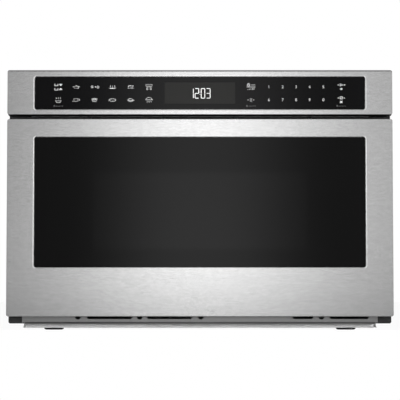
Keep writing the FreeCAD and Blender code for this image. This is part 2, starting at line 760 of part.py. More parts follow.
def drive_pinion():
    """Involute pinion with its shaft, meshing with the rack."""
    base = PITCH_RADIUS * math.cos(PRESSURE_ANGLE)
    tip = PITCH_RADIUS + GEAR_MODULE
    root = PITCH_RADIUS - RACK_ADDENDUM - ROOT_CLEARANCE
    involute = math.tan(PRESSURE_ANGLE) - PRESSURE_ANGLE
    turn = -(PITCH_STEP / 4 - BACKLASH / 4) / PITCH_RADIUS - involute
    flank = [(root, turn)]
    for number in range(FLANK_POINTS):
        radius = base + (tip - base) * number / (FLANK_POINTS - 1)
        roll = math.sqrt((radius / base) ** 2 - 1)
        flank.append((radius, turn + roll - math.atan(roll)))
    tooth = flank + [(radius, -angle) for radius, angle in reversed(flank)]
    points = []
    for number in range(PINION_TEETH):
        start = 2 * math.pi * number / PINION_TEETH
        for radius, angle in tooth:
            points.append((X_PINION + radius * math.cos(start + angle),
                           Y_PINION + radius * math.sin(start + angle)))
    shaft = rod_z(PINION_SHAFT_RADIUS, X_PINION, Y_PINION,
                  (Z_GEARBOX - PINION_SHAFT_DEPTH, Z_RACK[0]))
    return fused([prism_z(points, Z_RACK), shaft])


def drive_gearbox():
    """Gearbox on the base pan with the bearing bore of the pinion's shaft."""
    x = (X_PINION - GEARBOX_LEFT, X_PINION + GEARBOX_RIGHT)
    y = (Y_PINION - GEARBOX_HALF_DEPTH, Y_PINION + GEARBOX_HALF_DEPTH)
    shoulder = Z_FLOOR + GEARBOX_EAR_SHEET
    bevel = GEARBOX_CHAMFER
    profile = [(y[0] - GEARBOX_EAR, Z_FLOOR), (y[1] + GEARBOX_EAR, Z_FLOOR),
               (y[1] + GEARBOX_EAR, shoulder), (y[1], shoulder), (y[1], Z_GEARBOX - bevel),
               (y[1] - bevel, Z_GEARBOX), (y[0] + bevel, Z_GEARBOX), (y[0], Z_GEARBOX - bevel),
               (y[0], shoulder), (y[0] - GEARBOX_EAR, shoulder)]
    bore = rod_z(PINION_SHAFT_RADIUS + BEARING_GAP, X_PINION, Y_PINION,
                 (Z_GEARBOX - PINION_SHAFT_DEPTH - RUNNING_GAP, Z_GEARBOX + 1.0))
    return prism_x(profile, x).cut(bore)


def drive_motor():
    """Can motor on the gearbox's left side."""
    x_end = X_PINION - GEARBOX_LEFT
    z = (Z_FLOOR + GEARBOX_FOOT + Z_GEARBOX) / 2 + MOTOR_LIFT
    return prism_x(polygon(MOTOR_SIDES, MOTOR_RADIUS, Y_PINION, z), (x_end - MOTOR_LENGTH, x_end))


def rack_guide():
    """Plastic block that holds the rack against the pinion."""
    wall = GUIDE_BLOCK_WALL
    back = RACK_X + RACK_BODY / 2 + RUNNING_GAP
    y = (Y_PINION - GUIDE_BLOCK_LENGTH / 2, Y_PINION + GUIDE_BLOCK_LENGTH / 2)
    x_open = X_PITCH + GEAR_MODULE + ROOT_CLEARANCE + 1.0
    body = block((x_open, back + 2 * wall), y, (Z_FLOOR, Z_RACK[1] + RUNNING_GAP + wall))
    channel = block((x_open - 1.0, back), grown(y, 1.0), grown(Z_RACK, RUNNING_GAP))
    foot = block((x_open, back + 6 * wall), y, (Z_FLOOR, Z_FLOOR + wall))
    return fused([body, foot]).cut(channel)


# Latches

def hook_tip():
    """Depth of a latch hook's rear end with the drawer shut."""
    return Y_DOOR + HOOK_REACH


def latch_hook():
    """Flat hook on the door's back plate."""
    x = (X_HOOK - HOOK_WIDTH / 2, X_HOOK + HOOK_WIDTH / 2)
    z = (Z_HOOK - HOOK_HEIGHT / 2, Z_HOOK + HOOK_HEIGHT / 2)
    tip = hook_tip()
    catch = tip - HOOK_CATCH
    root = Y_DOOR + HOOK_ROOT
    low = z[1] - HOOK_NOTCH
    profile = [(Y_DOOR, z[0]), (tip - HOOK_LEAD, z[0]), (tip, z[0] + HOOK_LEAD),
               (tip, z[1] - HOOK_NOSE), (tip - 2 * HOOK_NOSE, z[1]), (catch, z[1]), (catch, low),
               (root, low), (root, z[1]), (Y_DOOR, z[1])]
    return prism_x(profile, x)


def latch_spans():
    """Width and height of the channel that a latch hook enters."""
    half_x = HOOK_WIDTH / 2 + HOOK_CLEAR
    half_z = HOOK_HEIGHT / 2 + HOOK_CLEAR
    return (X_HOOK - half_x, X_HOOK + half_x), (Z_HOOK - half_z, Z_HOOK + half_z)


def latch_housing():
    """Channel that takes the hook, with the guide of the interlock's plunger."""
    inner_x, inner_z = latch_spans()
    start = plunger_start()
    stop = start + PLUNGER_REACH
    body = block(grown(inner_x, LATCH_WALL), (Y_BULKHEAD, stop + LATCH_BODY),
                 grown(inner_z, LATCH_WALL))
    channel = block(inner_x, (Y_BULKHEAD - 1.0, stop), inner_z)
    half = PLUNGER_SIDE / 2 + RUNNING_GAP
    guide = block((X_HOOK - half, X_HOOK + half),
                  (stop - 1.0, start + PLUNGER_LENGTH + PLUNGER_TRAVEL + RUNNING_GAP),
                  (Z_HOOK - half, Z_HOOK + half))
    return body.cut(channel).cut(guide)


def plunger_start():
    """Depth of the free plunger's tip, just clear of the shut hook."""
    return hook_tip() + PLUNGER_GAP


def switch_plunger():
    """Square plunger of the interlock switch, at its free position."""
    start = plunger_start()
    half = PLUNGER_SIDE / 2
    return block((X_HOOK - half, X_HOOK + half), (start, start + PLUNGER_LENGTH),
                 (Z_HOOK - half, Z_HOOK + half))


# Chassis

def foot_places():
    """Middles of the four feet."""
    depths = (Y_FRONT + FOOT_FRONT_SETBACK, Y_REAR - FOOT_REAR_SETBACK)
    return [(side * X_FOOT, y) for y in depths for side in (-1, 1)]


def rubber_feet():
    """Four round rubber feet."""
    return Part.makeCompound([rod_z(FOOT_RADIUS, x, y, (0.0, FOOT_HEIGHT)) for x, y in foot_places()])


def base_pan():
    """Floor sheet with a skirt that flares out at the front and the sides."""
    floor = block(both_sides(X_CASE), (Y_WEB, Y_REAR), (FOOT_HEIGHT, Z_FLOOR))
    knee = Z_FLOOR - WEB_HEIGHT
    wall = PAN_SHEET
    front = [(Y_WEB, Z_FLOOR), (Y_WEB, knee), (Y_WEB - FRONT_FLARE, SKIRT_CLEAR),
             (Y_WEB - FRONT_FLARE + 1.6 * wall, SKIRT_CLEAR), (Y_WEB + wall, knee),
             (Y_WEB + wall, Z_FLOOR)]
    half = X_CASE - CORNER_RELIEF
    front_skirt = prism_x(front, both_sides(half))
    side = [(X_CASE, Z_FLOOR), (X_CASE, knee), (X_CASE + SIDE_FLARE, SKIRT_CLEAR),
            (X_CASE + SIDE_FLARE - 1.1 * wall, SKIRT_CLEAR), (X_CASE - wall, knee),
            (X_CASE - wall, Z_FLOOR)]
    side_skirt = prism_y(side, (Y_WEB + CORNER_RELIEF, Y_REAR - CORNER_RELIEF))
    rear_skirt = block(both_sides(half), (Y_REAR - wall, Y_REAR), (REAR_SKIRT_CLEAR, Z_FLOOR))
    pan = fused([floor, front_skirt, side_skirt, mirrored(side_skirt), rear_skirt])
    slots = []
    for row in range(4):
        y = Y_REAR_IN - INTAKE_MARGIN - row * INTAKE_PITCH
        for side in (-1, 1):
            x = side * INTAKE_X
            slots.append(block((x - INTAKE_LENGTH / 2, x + INTAKE_LENGTH / 2),
                               (y - INTAKE_WIDTH, y), (FOOT_HEIGHT - 1.0, Z_FLOOR + 1.0)))
    return pan.cut(slots)


def side_panel():
    """Casing side with a pressed field and a rear return for the screws."""
    sheet = CASE_SHEET
    panel = block((X_CASE_IN, X_CASE), (Y_LAP, Y_REAR_IN), (Z_FLOOR, Z_TOP_IN))
    back_return = block((X_CASE_IN - SCREW_RETURN, X_CASE_IN), (Y_REAR_IN - sheet, Y_REAR_IN),
                        (Z_FLOOR, Z_TOP_IN))
    shape = fused([panel, back_return])
    y = grown((Y_LAP, Y_REAR_IN), -PRESSING_MARGIN)
    z = (Z_RAIL + OUTER_HALF + PRESSING_MARGIN / 2, Z_TOP_IN - PRESSING_MARGIN)
    pad = prism_x(cut_corners(y, z, PRESSING_CORNER), (X_CASE - sheet / 2, X_CASE + PRESSING_HEIGHT))
    pit = prism_x(cut_corners(grown(y, -sheet), grown(z, -sheet), PRESSING_CORNER),
                  (X_CASE_IN - 1.0, X_CASE_IN + PRESSING_HEIGHT))
    holes = [clip_hole(x, z) for x, z in rear_screw_places() if x > 0]
    return shape.fuse(pad).cut(pit).removeSplitter().cut(holes)


def top_cover():
    """Casing top with a pressed field and side flanges inside the casing sides."""
    sheet = CASE_SHEET
    plate = block(both_sides(X_CASE), (Y_CABINET, Y_REAR), (Z_TOP_IN, Z_TOP))
    lip = block((X_CASE_IN - sheet, X_CASE_IN), (Y_RAIL, Y_REAR_IN - 2 * sheet),
                (Z_TOP_IN - SCREW_RETURN, Z_TOP_IN))
    x = both_sides(X_CASE - PRESSING_MARGIN)
    y = (Y_RAIL + PRESSING_MARGIN, Y_REAR - PRESSING_MARGIN)
    pad = prism_z(cut_corners(x, y, PRESSING_CORNER), (Z_TOP - sheet / 2, Z_TOP + PRESSING_HEIGHT))
    pit = prism_z(cut_corners(grown(x, -sheet), grown(y, -sheet), PRESSING_CORNER),
                  (Z_TOP_IN - 1.0, Z_TOP_IN + PRESSING_HEIGHT))
    cover = fused([plate, lip, mirrored(lip)])
    return cover.fuse(pad).cut(pit).removeSplitter()


def rear_screw_places():
    """Middles of the screws through the rear panel."""
    x = X_CASE_IN - SCREW_RETURN / 2
    heights = (Z_FLOOR + SCREW_MARGIN, Z_TOP_IN - SCREW_MARGIN)
    return [(side * x, z) for side in (-1, 1) for z in heights]


def clip_hole(x, z):
    """Square hole for a clip nut, through the rear sheets."""
    half = CLIP_HOLE / 2
    return block((x - half, x + half), (Y_REAR_IN - 3.0, Y_REAR + 1.0), (z - half, z + half))


def rear_panel():
    """Casing back with exhaust slots and the hole of the cord gland."""
    panel = block(both_sides(X_CASE), (Y_REAR_IN, Y_REAR), (Z_FLOOR, Z_TOP_IN))
    through = (Y_REAR_IN - 1.0, Y_REAR + 1.0)
    cuts = [rod_y(GLAND_NECK_RADIUS + GLAND_CLEAR, X_GLAND, through, Z_FLOOR + GLAND_RISE)]
    cuts += [clip_hole(x, z) for x, z in rear_screw_places()]
    for number in range(EXHAUST_COUNT):
        x = FAN_X - EXHAUST_PITCH * (number + 1)
        cuts.append(block((x - EXHAUST_WIDTH, x), through,
                          (Z_FAN - EXHAUST_HEIGHT / 2, Z_FAN + EXHAUST_HEIGHT / 2)))
    return panel.cut(cuts)


def rear_spacers():
    """Two plastic blocks that keep the casing's back clear of the wall."""
    x = X_CASE - SPACER_INSET
    z = Z_TOP_IN - SPACER_DROP
    right = block((x - SPACER_WIDTH / 2, x + SPACER_WIDTH / 2),
                  (Y_REAR, Y_REAR + GLAND_REACH - SPACER_SHORT), (z, z + SPACER_HEIGHT))
    return Part.makeCompound([right, mirrored(right)])


def front_bulkhead():
    """Black sheet behind the fronts, with the cavity's mouth and the holes of the slides."""
    bottom = Z_VENT[1] - VENT_LAP
    plate = block(both_sides(X_BULKHEAD), (Y_SEAT, Y_BULKHEAD), (bottom, Z_TOP_IN))
    wall = BULKHEAD_SHEET
    back = Y_BULKHEAD + BULKHEAD_RETURN
    edge = block((X_BULKHEAD - wall, X_BULKHEAD), (Y_SEAT, back), (bottom, Z_TOP_IN))
    top = block(both_sides(X_BULKHEAD), (Y_SEAT, back), (Z_TOP_IN - wall, Z_TOP_IN))
    shape = fused([plate, edge, mirrored(edge), top])
    through = (Y_SEAT - 1.0, Y_BULKHEAD + 1.0)
    cuts = [block(both_sides(X_CAVITY), through, (Z_CAVITY, Z_CEILING))]
    tall = OUTER_HALF + NOTCH_CLEAR
    notch = block((X_CASE_IN - RAIL_WIDTH - NOTCH_CLEAR, X_CASE), (Y_SEAT - 1.0, back + 1.0),
                  (Z_RAIL - tall, Z_RAIL + tall))
    hook_hole = block(latch_spans()[0], through, latch_spans()[1])
    cuts += [notch, mirrored(notch), hook_hole, mirrored(hook_hole)]
    cuts.append(block((X_PITCH - RACK_ADDENDUM - NOTCH_CLEAR, RACK_X + RACK_BODY / 2 + NOTCH_CLEAR),
                      through, grown(Z_RACK, NOTCH_CLEAR)))
    z = Z_FASCIA[0] - GAP_SLOT_DROP
    for side in (-1, 1):
        for share in GAP_SLOT_SHARES:
            x = side * share * X_CASE
            cuts.append(block((x - GAP_SLOT_WIDTH / 2, x + GAP_SLOT_WIDTH / 2), through,
                              (z - GAP_SLOT_HEIGHT, z)))
    return shape.cut(cuts)


def mount_flange():
    """Black angle whose front leg meets the cabinet and takes two screws."""
    cut = FLANGE_CORNER
    low, high = Z_FLANGE
    outline = [(X_BULKHEAD, low), (X_FLANGE - cut, low), (X_FLANGE, low + cut), (X_FLANGE, high),
               (X_CASE, high), (X_CASE, Z_TOP_IN), (X_BULKHEAD, Z_TOP_IN)]
    front = prism_y(outline, (Y_SEAT, Y_CABINET))
    leg = block((X_CASE - FLANGE_SHEET, X_CASE), (Y_SEAT + FLANGE_SHEET / 2, Y_LAP),
                (Z_FLOOR, Z_TOP_IN))
    lap = block((X_CASE_IN - FLANGE_SHEET, X_CASE_IN), (Y_LAP - 3 * FLANGE_SHEET, Y_LAP + FLANGE_LAP),
                (Z_FLOOR, Z_TOP_IN))
    holes = [rod_y(SCREW_HOLE_RADIUS, screw_hole_x(), (Y_SEAT - 1.0, Y_CABINET + 1.0), z)
             for z in Z_SCREWS]
    return fused([front, leg, lap]).cut(holes)


def screw_hole_x():
    """Middle of the part of the flange that lies on the cabinet."""
    return (X_CASE + X_FLANGE) / 2


def vent_panel():
    """Grey sheet below the drawer front with a row of round holes and slots."""
    face_y = (Y_SEAT - VENT_SHEET, Y_SEAT)
    face = block(both_sides(X_CASE + VENT_OVERLAP), face_y, Z_VENT)
    foot = block(both_sides(X_BULKHEAD - VENT_RETURN_INSET),
                 (Y_SEAT - VENT_SHEET, Y_SEAT + VENT_RETURN_DEPTH), (Z_FLOOR, Z_FLOOR + VENT_SHEET))
    panel = fused([face, foot])
    through = (Y_SEAT - VENT_SHEET - 1.0, Y_SEAT + 1.0)
    cuts = [rod_y(VENT_HOLE_RADIUS, share * X_CASE, through, Z_VENT_LINE) for share in VENT_HOLE_SHARES]
    z = (Z_VENT_LINE - VENT_SLOT_HEIGHT / 2, Z_VENT_LINE + VENT_SLOT_HEIGHT / 2)
    for start, end in VENT_SLOT_SHARES:
        x = (start * X_CASE, end * X_CASE)
        cuts.append(prism_y(cut_corners(x, z, VENT_SLOT_CORNER), through))
    return panel.cut(cuts)


def cavity_liner():
    """Welded sheet box round the tub, with the feed port, lamp holes and air vents."""
    sheet = CAVITY_SHEET
    outer = block(both_sides(X_CAVITY_OUT), (Y_BULKHEAD, Y_BAY), (Z_CAVITY_OUT, Z_CEILING_OUT))
    lip = block(both_sides(X_CAVITY_OUT + CAVITY_LIP), (Y_BULKHEAD, Y_BULKHEAD + sheet),
                (Z_CAVITY_OUT - CAVITY_LIP, Z_CEILING_OUT + CAVITY_LIP))
    y = Y_BAY - CAVITY_LEG_WIDTH / 2
    leg = [(y, Z_FLOOR), (y + CAVITY_LEG_WIDTH / 3, Z_FLOOR),
           (y + CAVITY_LEG_WIDTH / 3, Z_FLOOR + sheet), (y + sheet, Z_FLOOR + sheet),
           (y + sheet, Z_CAVITY_OUT + sheet / 2), (y, Z_CAVITY_OUT + sheet / 2)]
    x = X_CAVITY - CAVITY_LEG_INSET
    right_leg = prism_x(leg, (x - CAVITY_LEG_WIDTH / 2, x + CAVITY_LEG_WIDTH / 2))
    legs = [right_leg, mirrored(right_leg)]
    inner = block(both_sides(X_CAVITY), (Y_BULKHEAD - 1.0, Y_CAVITY_BACK), (Z_CAVITY, Z_CEILING))
    cuts = [rod_z(STIRRER_PORT_RADIUS, 0.0, STIRRER_Y, (Z_CEILING - 1.0, Z_CEILING_OUT + 1.0))]
    lamp = grown((LAMP_Y, LAMP_Y), LAMP_CAN / 2 - 2 * PERFORATION_WIDTH)
    rows = int((lamp[1] - lamp[0]) / (2 * PERFORATION_WIDTH))
    for row in range(rows):
        y = lamp[0] + 2 * PERFORATION_WIDTH * row
        cuts.append(block((X_CAVITY - 1.0, X_CAVITY_OUT + 1.0), (y, y + PERFORATION_WIDTH),
                          grown((lamp_height(), lamp_height()), LAMP_CAN / 2 - 2 * PERFORATION_WIDTH)))
    columns = int((DUCT_WIDTH - 4 * PERFORATION_WIDTH) / (2 * PERFORATION_WIDTH))
    for column in range(columns):
        x = X_DUCT[0] + 2 * PERFORATION_WIDTH * (column + 1)
        cuts.append(block((x, x + PERFORATION_WIDTH), (Y_CAVITY_BACK - 1.0, Y_BAY + 1.0),
                          (Z_MAGNETRON[0] + 2 * PERFORATION_WIDTH, Z_CEILING - 2 * PERFORATION_WIDTH)))
    return fused([outer, lip] + legs).cut(inner).cut(cuts)


# Microwave feed

def waveguide():
    """Rectangular guide from the magnetron to the stirrer's port."""
    sheet = GUIDE_SHEET
    half = GUIDE_WIDTH / 2
    outer = block(both_sides(half), Y_GUIDE, Z_GUIDE)
    inner = block(both_sides(half - sheet), grown(Y_GUIDE, -sheet), grown(Z_GUIDE, -sheet))
    low = (Z_GUIDE[0] - 1.0, Z_GUIDE[0] + sheet + 1.0)
    high = (Z_GUIDE[1] - sheet - 1.0, Z_GUIDE[1] + 1.0)
    side = STIRRER_PORT_RADIUS
    port = ANTENNA_RADIUS + ANTENNA_GAP
    cuts = [block(both_sides(side), (STIRRER_Y - side, STIRRER_Y + side), low),
            block(both_sides(port), (Y_MAGNETRON - port, Y_MAGNETRON + port), low),
            rod_z(STIRRER_SHAFT_RADIUS + 0.5, 0.0, STIRRER_Y, high)]
    return outer.cut(inner).cut(cuts)


def stirrer_blade():
    """Three bent paddles on the stirrer's shaft."""
    top = Z_CEILING - STIRRER_DROP
    z = (top - STIRRER_SHEET, top)
    hub = rod_z(STIRRER_HUB_RADIUS, 0.0, STIRRER_Y, z)
    end = STIRRER_RADIUS - PADDLE_INSET
    pieces = [hub, rod_z(STIRRER_SHAFT_RADIUS, 0.0, STIRRER_Y, (z[0], Z_GUIDE[1] + STIRRER_SHAFT_DEPTH))]
    for number in range(3):
        arm = block(both_sides(STIRRER_ARM_WIDTH / 2), (0.0, end - PADDLE_LENGTH / 2), z)
        paddle = block(both_sides(PADDLE_WIDTH / 2), (end - PADDLE_LENGTH, end), z)
        turned = fused([arm, paddle])
        turned.rotate(Vector(0, 0, 0), Vector(0, 0, 1), 120.0 * number)
        turned.translate(Vector(0, STIRRER_Y, 0))
        pieces.append(turned)
    return fused(pieces)


def stirrer_motor():
    """Flat gear motor on the guide, with the shaft's bore."""
    z = (Z_GUIDE[1], Z_GUIDE[1] + STIRRER_MOTOR_HEIGHT)
    half = STIRRER_MOTOR_SIDE / 2
    case = prism_z(cut_corners(both_sides(half), (STIRRER_Y - half, STIRRER_Y + half), half / 3), z)
    bore = rod_z(STIRRER_SHAFT_RADIUS + BEARING_GAP, 0.0, STIRRER_Y,
                 (z[0] - 1.0, z[0] + STIRRER_SHAFT_DEPTH + RUNNING_GAP))
    return case.cut(bore)


def stirrer_cover():
    """Shallow tray under the cavity's ceiling that shields the stirrer."""
    half = STIRRER_RADIUS + STIRRER_COVER_GAP
    wall = STIRRER_COVER_SHEET
    y = (STIRRER_Y - half, STIRRER_Y + half)
    low = Z_CEILING - STIRRER_COVER_DROP - wall
    tray = block(both_sides(half), y, (low, Z_CEILING))
    hollow = block(both_sides(half - wall), grown(y, -wall), (low + wall, Z_CEILING + 1.0))
    return tray.cut(hollow)


def magnetron_yoke():
    """Sheet yoke open at both sides, with the filter box below."""
    sheet = YOKE_SHEET
    half = MAGNETRON_WIDTH / 2
    y = (Y_MAGNETRON - MAGNETRON_DEPTH / 2, Y_MAGNETRON + MAGNETRON_DEPTH / 2)
    outer = block(both_sides(half), y, Z_MAGNETRON)
    tunnel = block(both_sides(half + 1.0), grown(y, -sheet), grown(Z_MAGNETRON, -sheet))
    box = block(both_sides(half - FILTER_BOX_INSET), grown(y, -FILTER_BOX_INSET),
                (Z_MAGNETRON[0] - FILTER_BOX_HEIGHT, Z_MAGNETRON[0]))
    half = ANTENNA_RADIUS + ANTENNA_GAP
    port = block(both_sides(half), (Y_MAGNETRON - half, Y_MAGNETRON + half),
                 (Z_MAGNETRON[1] - sheet - 1.0, Z_MAGNETRON[1] + 1.0))
    return fused([outer.cut(tunnel), box]).cut(port)


def magnetron_anode():
    """Anode block with its cooling fins, and the antenna that reaches into the guide."""
    z = grown(Z_MAGNETRON, -YOKE_SHEET)
    core = ANODE_WIDTH / 2
    reach = MAGNETRON_DEPTH / 2 - YOKE_SHEET
    step = (z[1] - z[0] - 2 * FIN_MARGIN) / (FIN_COUNT - 1)
    right = [(Y_MAGNETRON + core, z[0])]
    for number in range(FIN_COUNT):
        low = z[0] + FIN_MARGIN + number * step - FIN_SHEET / 2
        right += [(Y_MAGNETRON + core, low), (Y_MAGNETRON + reach, low),
                  (Y_MAGNETRON + reach, low + FIN_SHEET), (Y_MAGNETRON + core, low + FIN_SHEET)]
    right.append((Y_MAGNETRON + core, z[1]))
    left = [(2 * Y_MAGNETRON - y, up) for y, up in reversed(right)]
    block_of_fins = prism_x(right + left, both_sides(MAGNETRON_WIDTH / 2 - YOKE_SHEET))
    antenna = rod_z(ANTENNA_RADIUS, 0.0, Y_MAGNETRON, (z[1] - 1.0, Z_GUIDE[0] + ANTENNA_REACH))
    return fused([block_of_fins, antenna])


# Cooling air

def fan_shroud():
    """Plate across the rear bay with the fan's round mouth."""
    x = (FAN_X - FAN_PLATE_SHEET / 2, FAN_X + FAN_PLATE_SHEET / 2)
    z = (Z_FAN - FAN_PLATE_HEIGHT / 2, Z_FAN + FAN_PLATE_HEIGHT / 2)
    outline = polygon(FAN_MOUTH_SIDES, FAN_RADIUS + FAN_GAP, BAY_MIDDLE, Z_FAN)
    mouth = prism_x(outline, grown(x, 1.0))
    return block(x, (Y_BAY, Y_REAR_IN), z).cut(mouth)


def fan_impeller():
    """Axial impeller with pitched blades on its shaft."""
    half = FAN_DEPTH / 2
    hub = prism_x(polygon(FAN_HUB_SIDES, FAN_HUB_RADIUS, 0.0, 0.0), (FAN_X - half, FAN_X + half))
    shaft = rod_x(FAN_SHAFT_RADIUS, (fan_motor_face() - FAN_SHAFT_DEPTH, FAN_X), 0.0, 0.0)
    pieces = [hub, shaft]
    across = FAN_BLADE_WIDTH / 2 * math.cos(FAN_PITCH)
    tip = math.sqrt(FAN_RADIUS ** 2 - across ** 2)
    for number in range(FAN_BLADES):
        blade = block((FAN_X - FAN_BLADE_SHEET / 2, FAN_X + FAN_BLADE_SHEET / 2),
                      both_sides(FAN_BLADE_WIDTH / 2), (FAN_HUB_RADIUS - 3.0, tip))
        blade.rotate(Vector(FAN_X, 0, 0), Vector(0, 0, 1), math.degrees(FAN_PITCH))
        blade.rotate(Vector(FAN_X, 0, 0), Vector(1, 0, 0), number * 360.0 / FAN_BLADES)
        pieces.append(blade)
    shape = fused(pieces)
    shape.translate(Vector(0, BAY_MIDDLE, Z_FAN))
    return shape


def fan_motor_face():
    """Plane of the fan motor's front."""
    return FAN_X - FAN_DEPTH / 2 - FAN_TO_MOTOR


def fan_motor():
    """Shaded-pole motor: laminated frame, coil, three arms to the shroud and the shaft's bore."""
    face = fan_motor_face()
    half = FAN_MOTOR_SIDE / 2
    pieces = [block((face - FAN_MOTOR_LENGTH, face), both_sides(half), (-half, half + FAN_COIL)),
              block((face - FAN_MOTOR_LENGTH - FAN_COIL / 2, face), both_sides(half - FAN_COIL / 4),
                    (half, half + FAN_COIL / 2))]
    near = FAN_RADIUS + FAN_GAP + 1.0
    plate = FAN_X - FAN_PLATE_SHEET / 2
    for number in range(3):
        outline = [(face - FAN_ARM, 0.0), (face, 0.0), (face, near), (plate, near),
                   (plate, near + FAN_POST), (face - FAN_ARM, near + FAN_POST)]
        arm = prism_y(outline, both_sides(FAN_POST))
        arm.rotate(Vector(0, 0, 0), Vector(1, 0, 0), 120.0 * number + 60.0)
        pieces.append(arm)
    bore = rod_x(FAN_SHAFT_RADIUS + BEARING_GAP, (face - FAN_SHAFT_DEPTH - RUNNING_GAP, face + 1.0),
                 0.0, 0.0)
    shape = fused(pieces).cut(bore)
    shape.translate(Vector(0, BAY_MIDDLE, Z_FAN))
    return shape


def air_duct():
    """Plastic duct that turns the air behind the magnetron into the cavity's vents."""
    wall = DUCT_SHEET
    y = (Y_BAY, Y_MAGNETRON + MAGNETRON_DEPTH / 2)
    outer = block(X_DUCT, y, Z_MAGNETRON)
    hollow = block((X_DUCT[0] - 1.0, X_DUCT[1] - wall), (y[0] - 1.0, y[1] - wall),
                   grown(Z_MAGNETRON, -wall))
    return outer.cut(hollow)


# High voltage supply

def transformer_core():
    """Laminated core with two windows, on its foot plate."""
    half = CORE_WIDTH / 2
    x = (X_TRANSFORMER - half, X_TRANSFORMER + half)
    y = (BAY_MIDDLE - CORE_DEPTH / 2, BAY_MIDDLE + CORE_DEPTH / 2)
    z = (Z_FLOOR + CORE_FOOT, Z_FLOOR + CORE_FOOT + CORE_HEIGHT)
    core = block(x, y, z)
    foot = block(grown(x, CORE_LEG / 2), y, (Z_FLOOR, Z_FLOOR + CORE_FOOT + 0.5))
    windows = []
    for side in (-1, 1):
        near = X_TRANSFORMER + side * CORE_LEG
        far = X_TRANSFORMER + side * (half - CORE_LEG)
        windows.append(block((min(near, far), max(near, far)), grown(y, 1.0),
                             grown(z, -CORE_LEG)))
    return fused([core, foot]).cut(windows)


def transformer_windings():
    """Primary and secondary coils round the core's middle leg."""
    reach = CORE_WIDTH / 2 - CORE_LEG - COIL_GAP
    inner_y = (BAY_MIDDLE - CORE_DEPTH / 2, BAY_MIDDLE + CORE_DEPTH / 2)
    y = grown(inner_y, COIL_OVERHANG)
    x = (X_TRANSFORMER - reach, X_TRANSFORMER + reach)
    outline = cut_corners(x, y, COIL_CORNER)
    low = Z_FLOOR + CORE_FOOT + CORE_LEG
    height = (CORE_HEIGHT - 2 * CORE_LEG - COIL_SPLIT) / 2
    coils = []
    for start in (low, low + height + COIL_SPLIT):
        z = (start, start + height)
        leg = block((X_TRANSFORMER - CORE_LEG, X_TRANSFORMER + CORE_LEG), inner_y, grown(z, 1.0))
        coils.append(prism_z(outline, z).cut(leg))
    return Part.makeCompound(coils)


def capacitor_spans():
    """Plan of the capacitor's can."""
    x = (CAPACITOR_X - CAPACITOR_WIDTH / 2, CAPACITOR_X + CAPACITOR_WIDTH / 2)
    y = (BAY_MIDDLE - CAPACITOR_DEPTH / 2, BAY_MIDDLE + CAPACITOR_DEPTH / 2)
    return x, y


def hv_capacitor():
    """Capacitor can with two blade terminals."""
    x, y = capacitor_spans()
    z = (Z_FLOOR, Z_FLOOR + CAPACITOR_HEIGHT)
    can = prism_z(cut_corners(x, y, CAPACITOR_CORNER), z)
    pieces = [can]
    for side in (-1, 1):
        middle = CAPACITOR_X + side * CAPACITOR_WIDTH / 4
        pieces.append(block((middle - TERMINAL_WIDTH / 2, middle + TERMINAL_WIDTH / 2),
                            (BAY_MIDDLE - TERMINAL_SHEET / 2, BAY_MIDDLE + TERMINAL_SHEET / 2),
                            (z[1] - 1.0, z[1] + TERMINAL_HEIGHT)))
    return fused(pieces)


def capacitor_bracket():
    """Strap round the capacitor with a foot on the base pan."""
    x, y = capacitor_spans()
    sheet = STRAP_SHEET
    z = (Z_FLOOR + STRAP_RISE, Z_FLOOR + STRAP_RISE + STRAP_HEIGHT)
    band = block(grown(x, sheet), grown(y, sheet), z).cut(block(x, y, grown(z, 1.0)))
    half = STRAP_HEIGHT / 2
    foot = prism_x([(y[1], Z_FLOOR), (y[1] + STRAP_HEIGHT, Z_FLOOR),
                    (y[1] + STRAP_HEIGHT, Z_FLOOR + sheet), (y[1] + sheet, Z_FLOOR + sheet),
                    (y[1] + sheet, z[1]), (y[1], z[1])], (CAPACITOR_X - half, CAPACITOR_X + half))
    return fused([band, foot])


def filter_board():
    """Line filter board on standoffs with its choke and capacitors."""
    half_x = FILTER_WIDTH / 2
    half_y = FILTER_DEPTH / 2
    low = Z_FLOOR + STANDOFF_HEIGHT
    top = low + BOARD_THICK
    pieces = [block((X_FILTER - half_x, X_FILTER + half_x),
                    (BAY_MIDDLE - half_y, BAY_MIDDLE + half_y), (low, top))]
    for dx in (-1, 1):
        x = X_FILTER + dx * (half_x - STANDOFF)
        pieces.append(block((x - STANDOFF / 2, x + STANDOFF / 2),
                            (BAY_MIDDLE - half_y, BAY_MIDDLE + half_y), (Z_FLOOR, low)))
    coil = polygon(CHOKE_COIL_SIDES, CHOKE_COIL_RADIUS, X_FILTER - half_x / 2, BAY_MIDDLE)
    pieces.append(prism_z(coil, (top, top + CHOKE_COIL_HEIGHT)))
    for number in range(2):
        x = X_FILTER + half_x * (0.15 + 0.4 * number)
        pieces.append(block((x, x + CHOKE_COIL_RADIUS), (BAY_MIDDLE - half_y / 2,
                            BAY_MIDDLE + half_y / 2), (top, top + CHOKE_COIL_HEIGHT)))
    return fused(pieces)


# Controls

def control_middle():
    """Height of the keypad glass's middle."""
    return (Z_KEYPAD[0] + Z_KEYPAD[1]) / 2


def display_module():
    """Display box between the keypad glass and the control board."""
    z = control_middle()
    return block(both_sides(DISPLAY_WIDTH / 2), (Y_POCKET, Y_POCKET + DISPLAY_DEPTH),
                 (z - DISPLAY_HEIGHT / 2, z + DISPLAY_HEIGHT / 2))


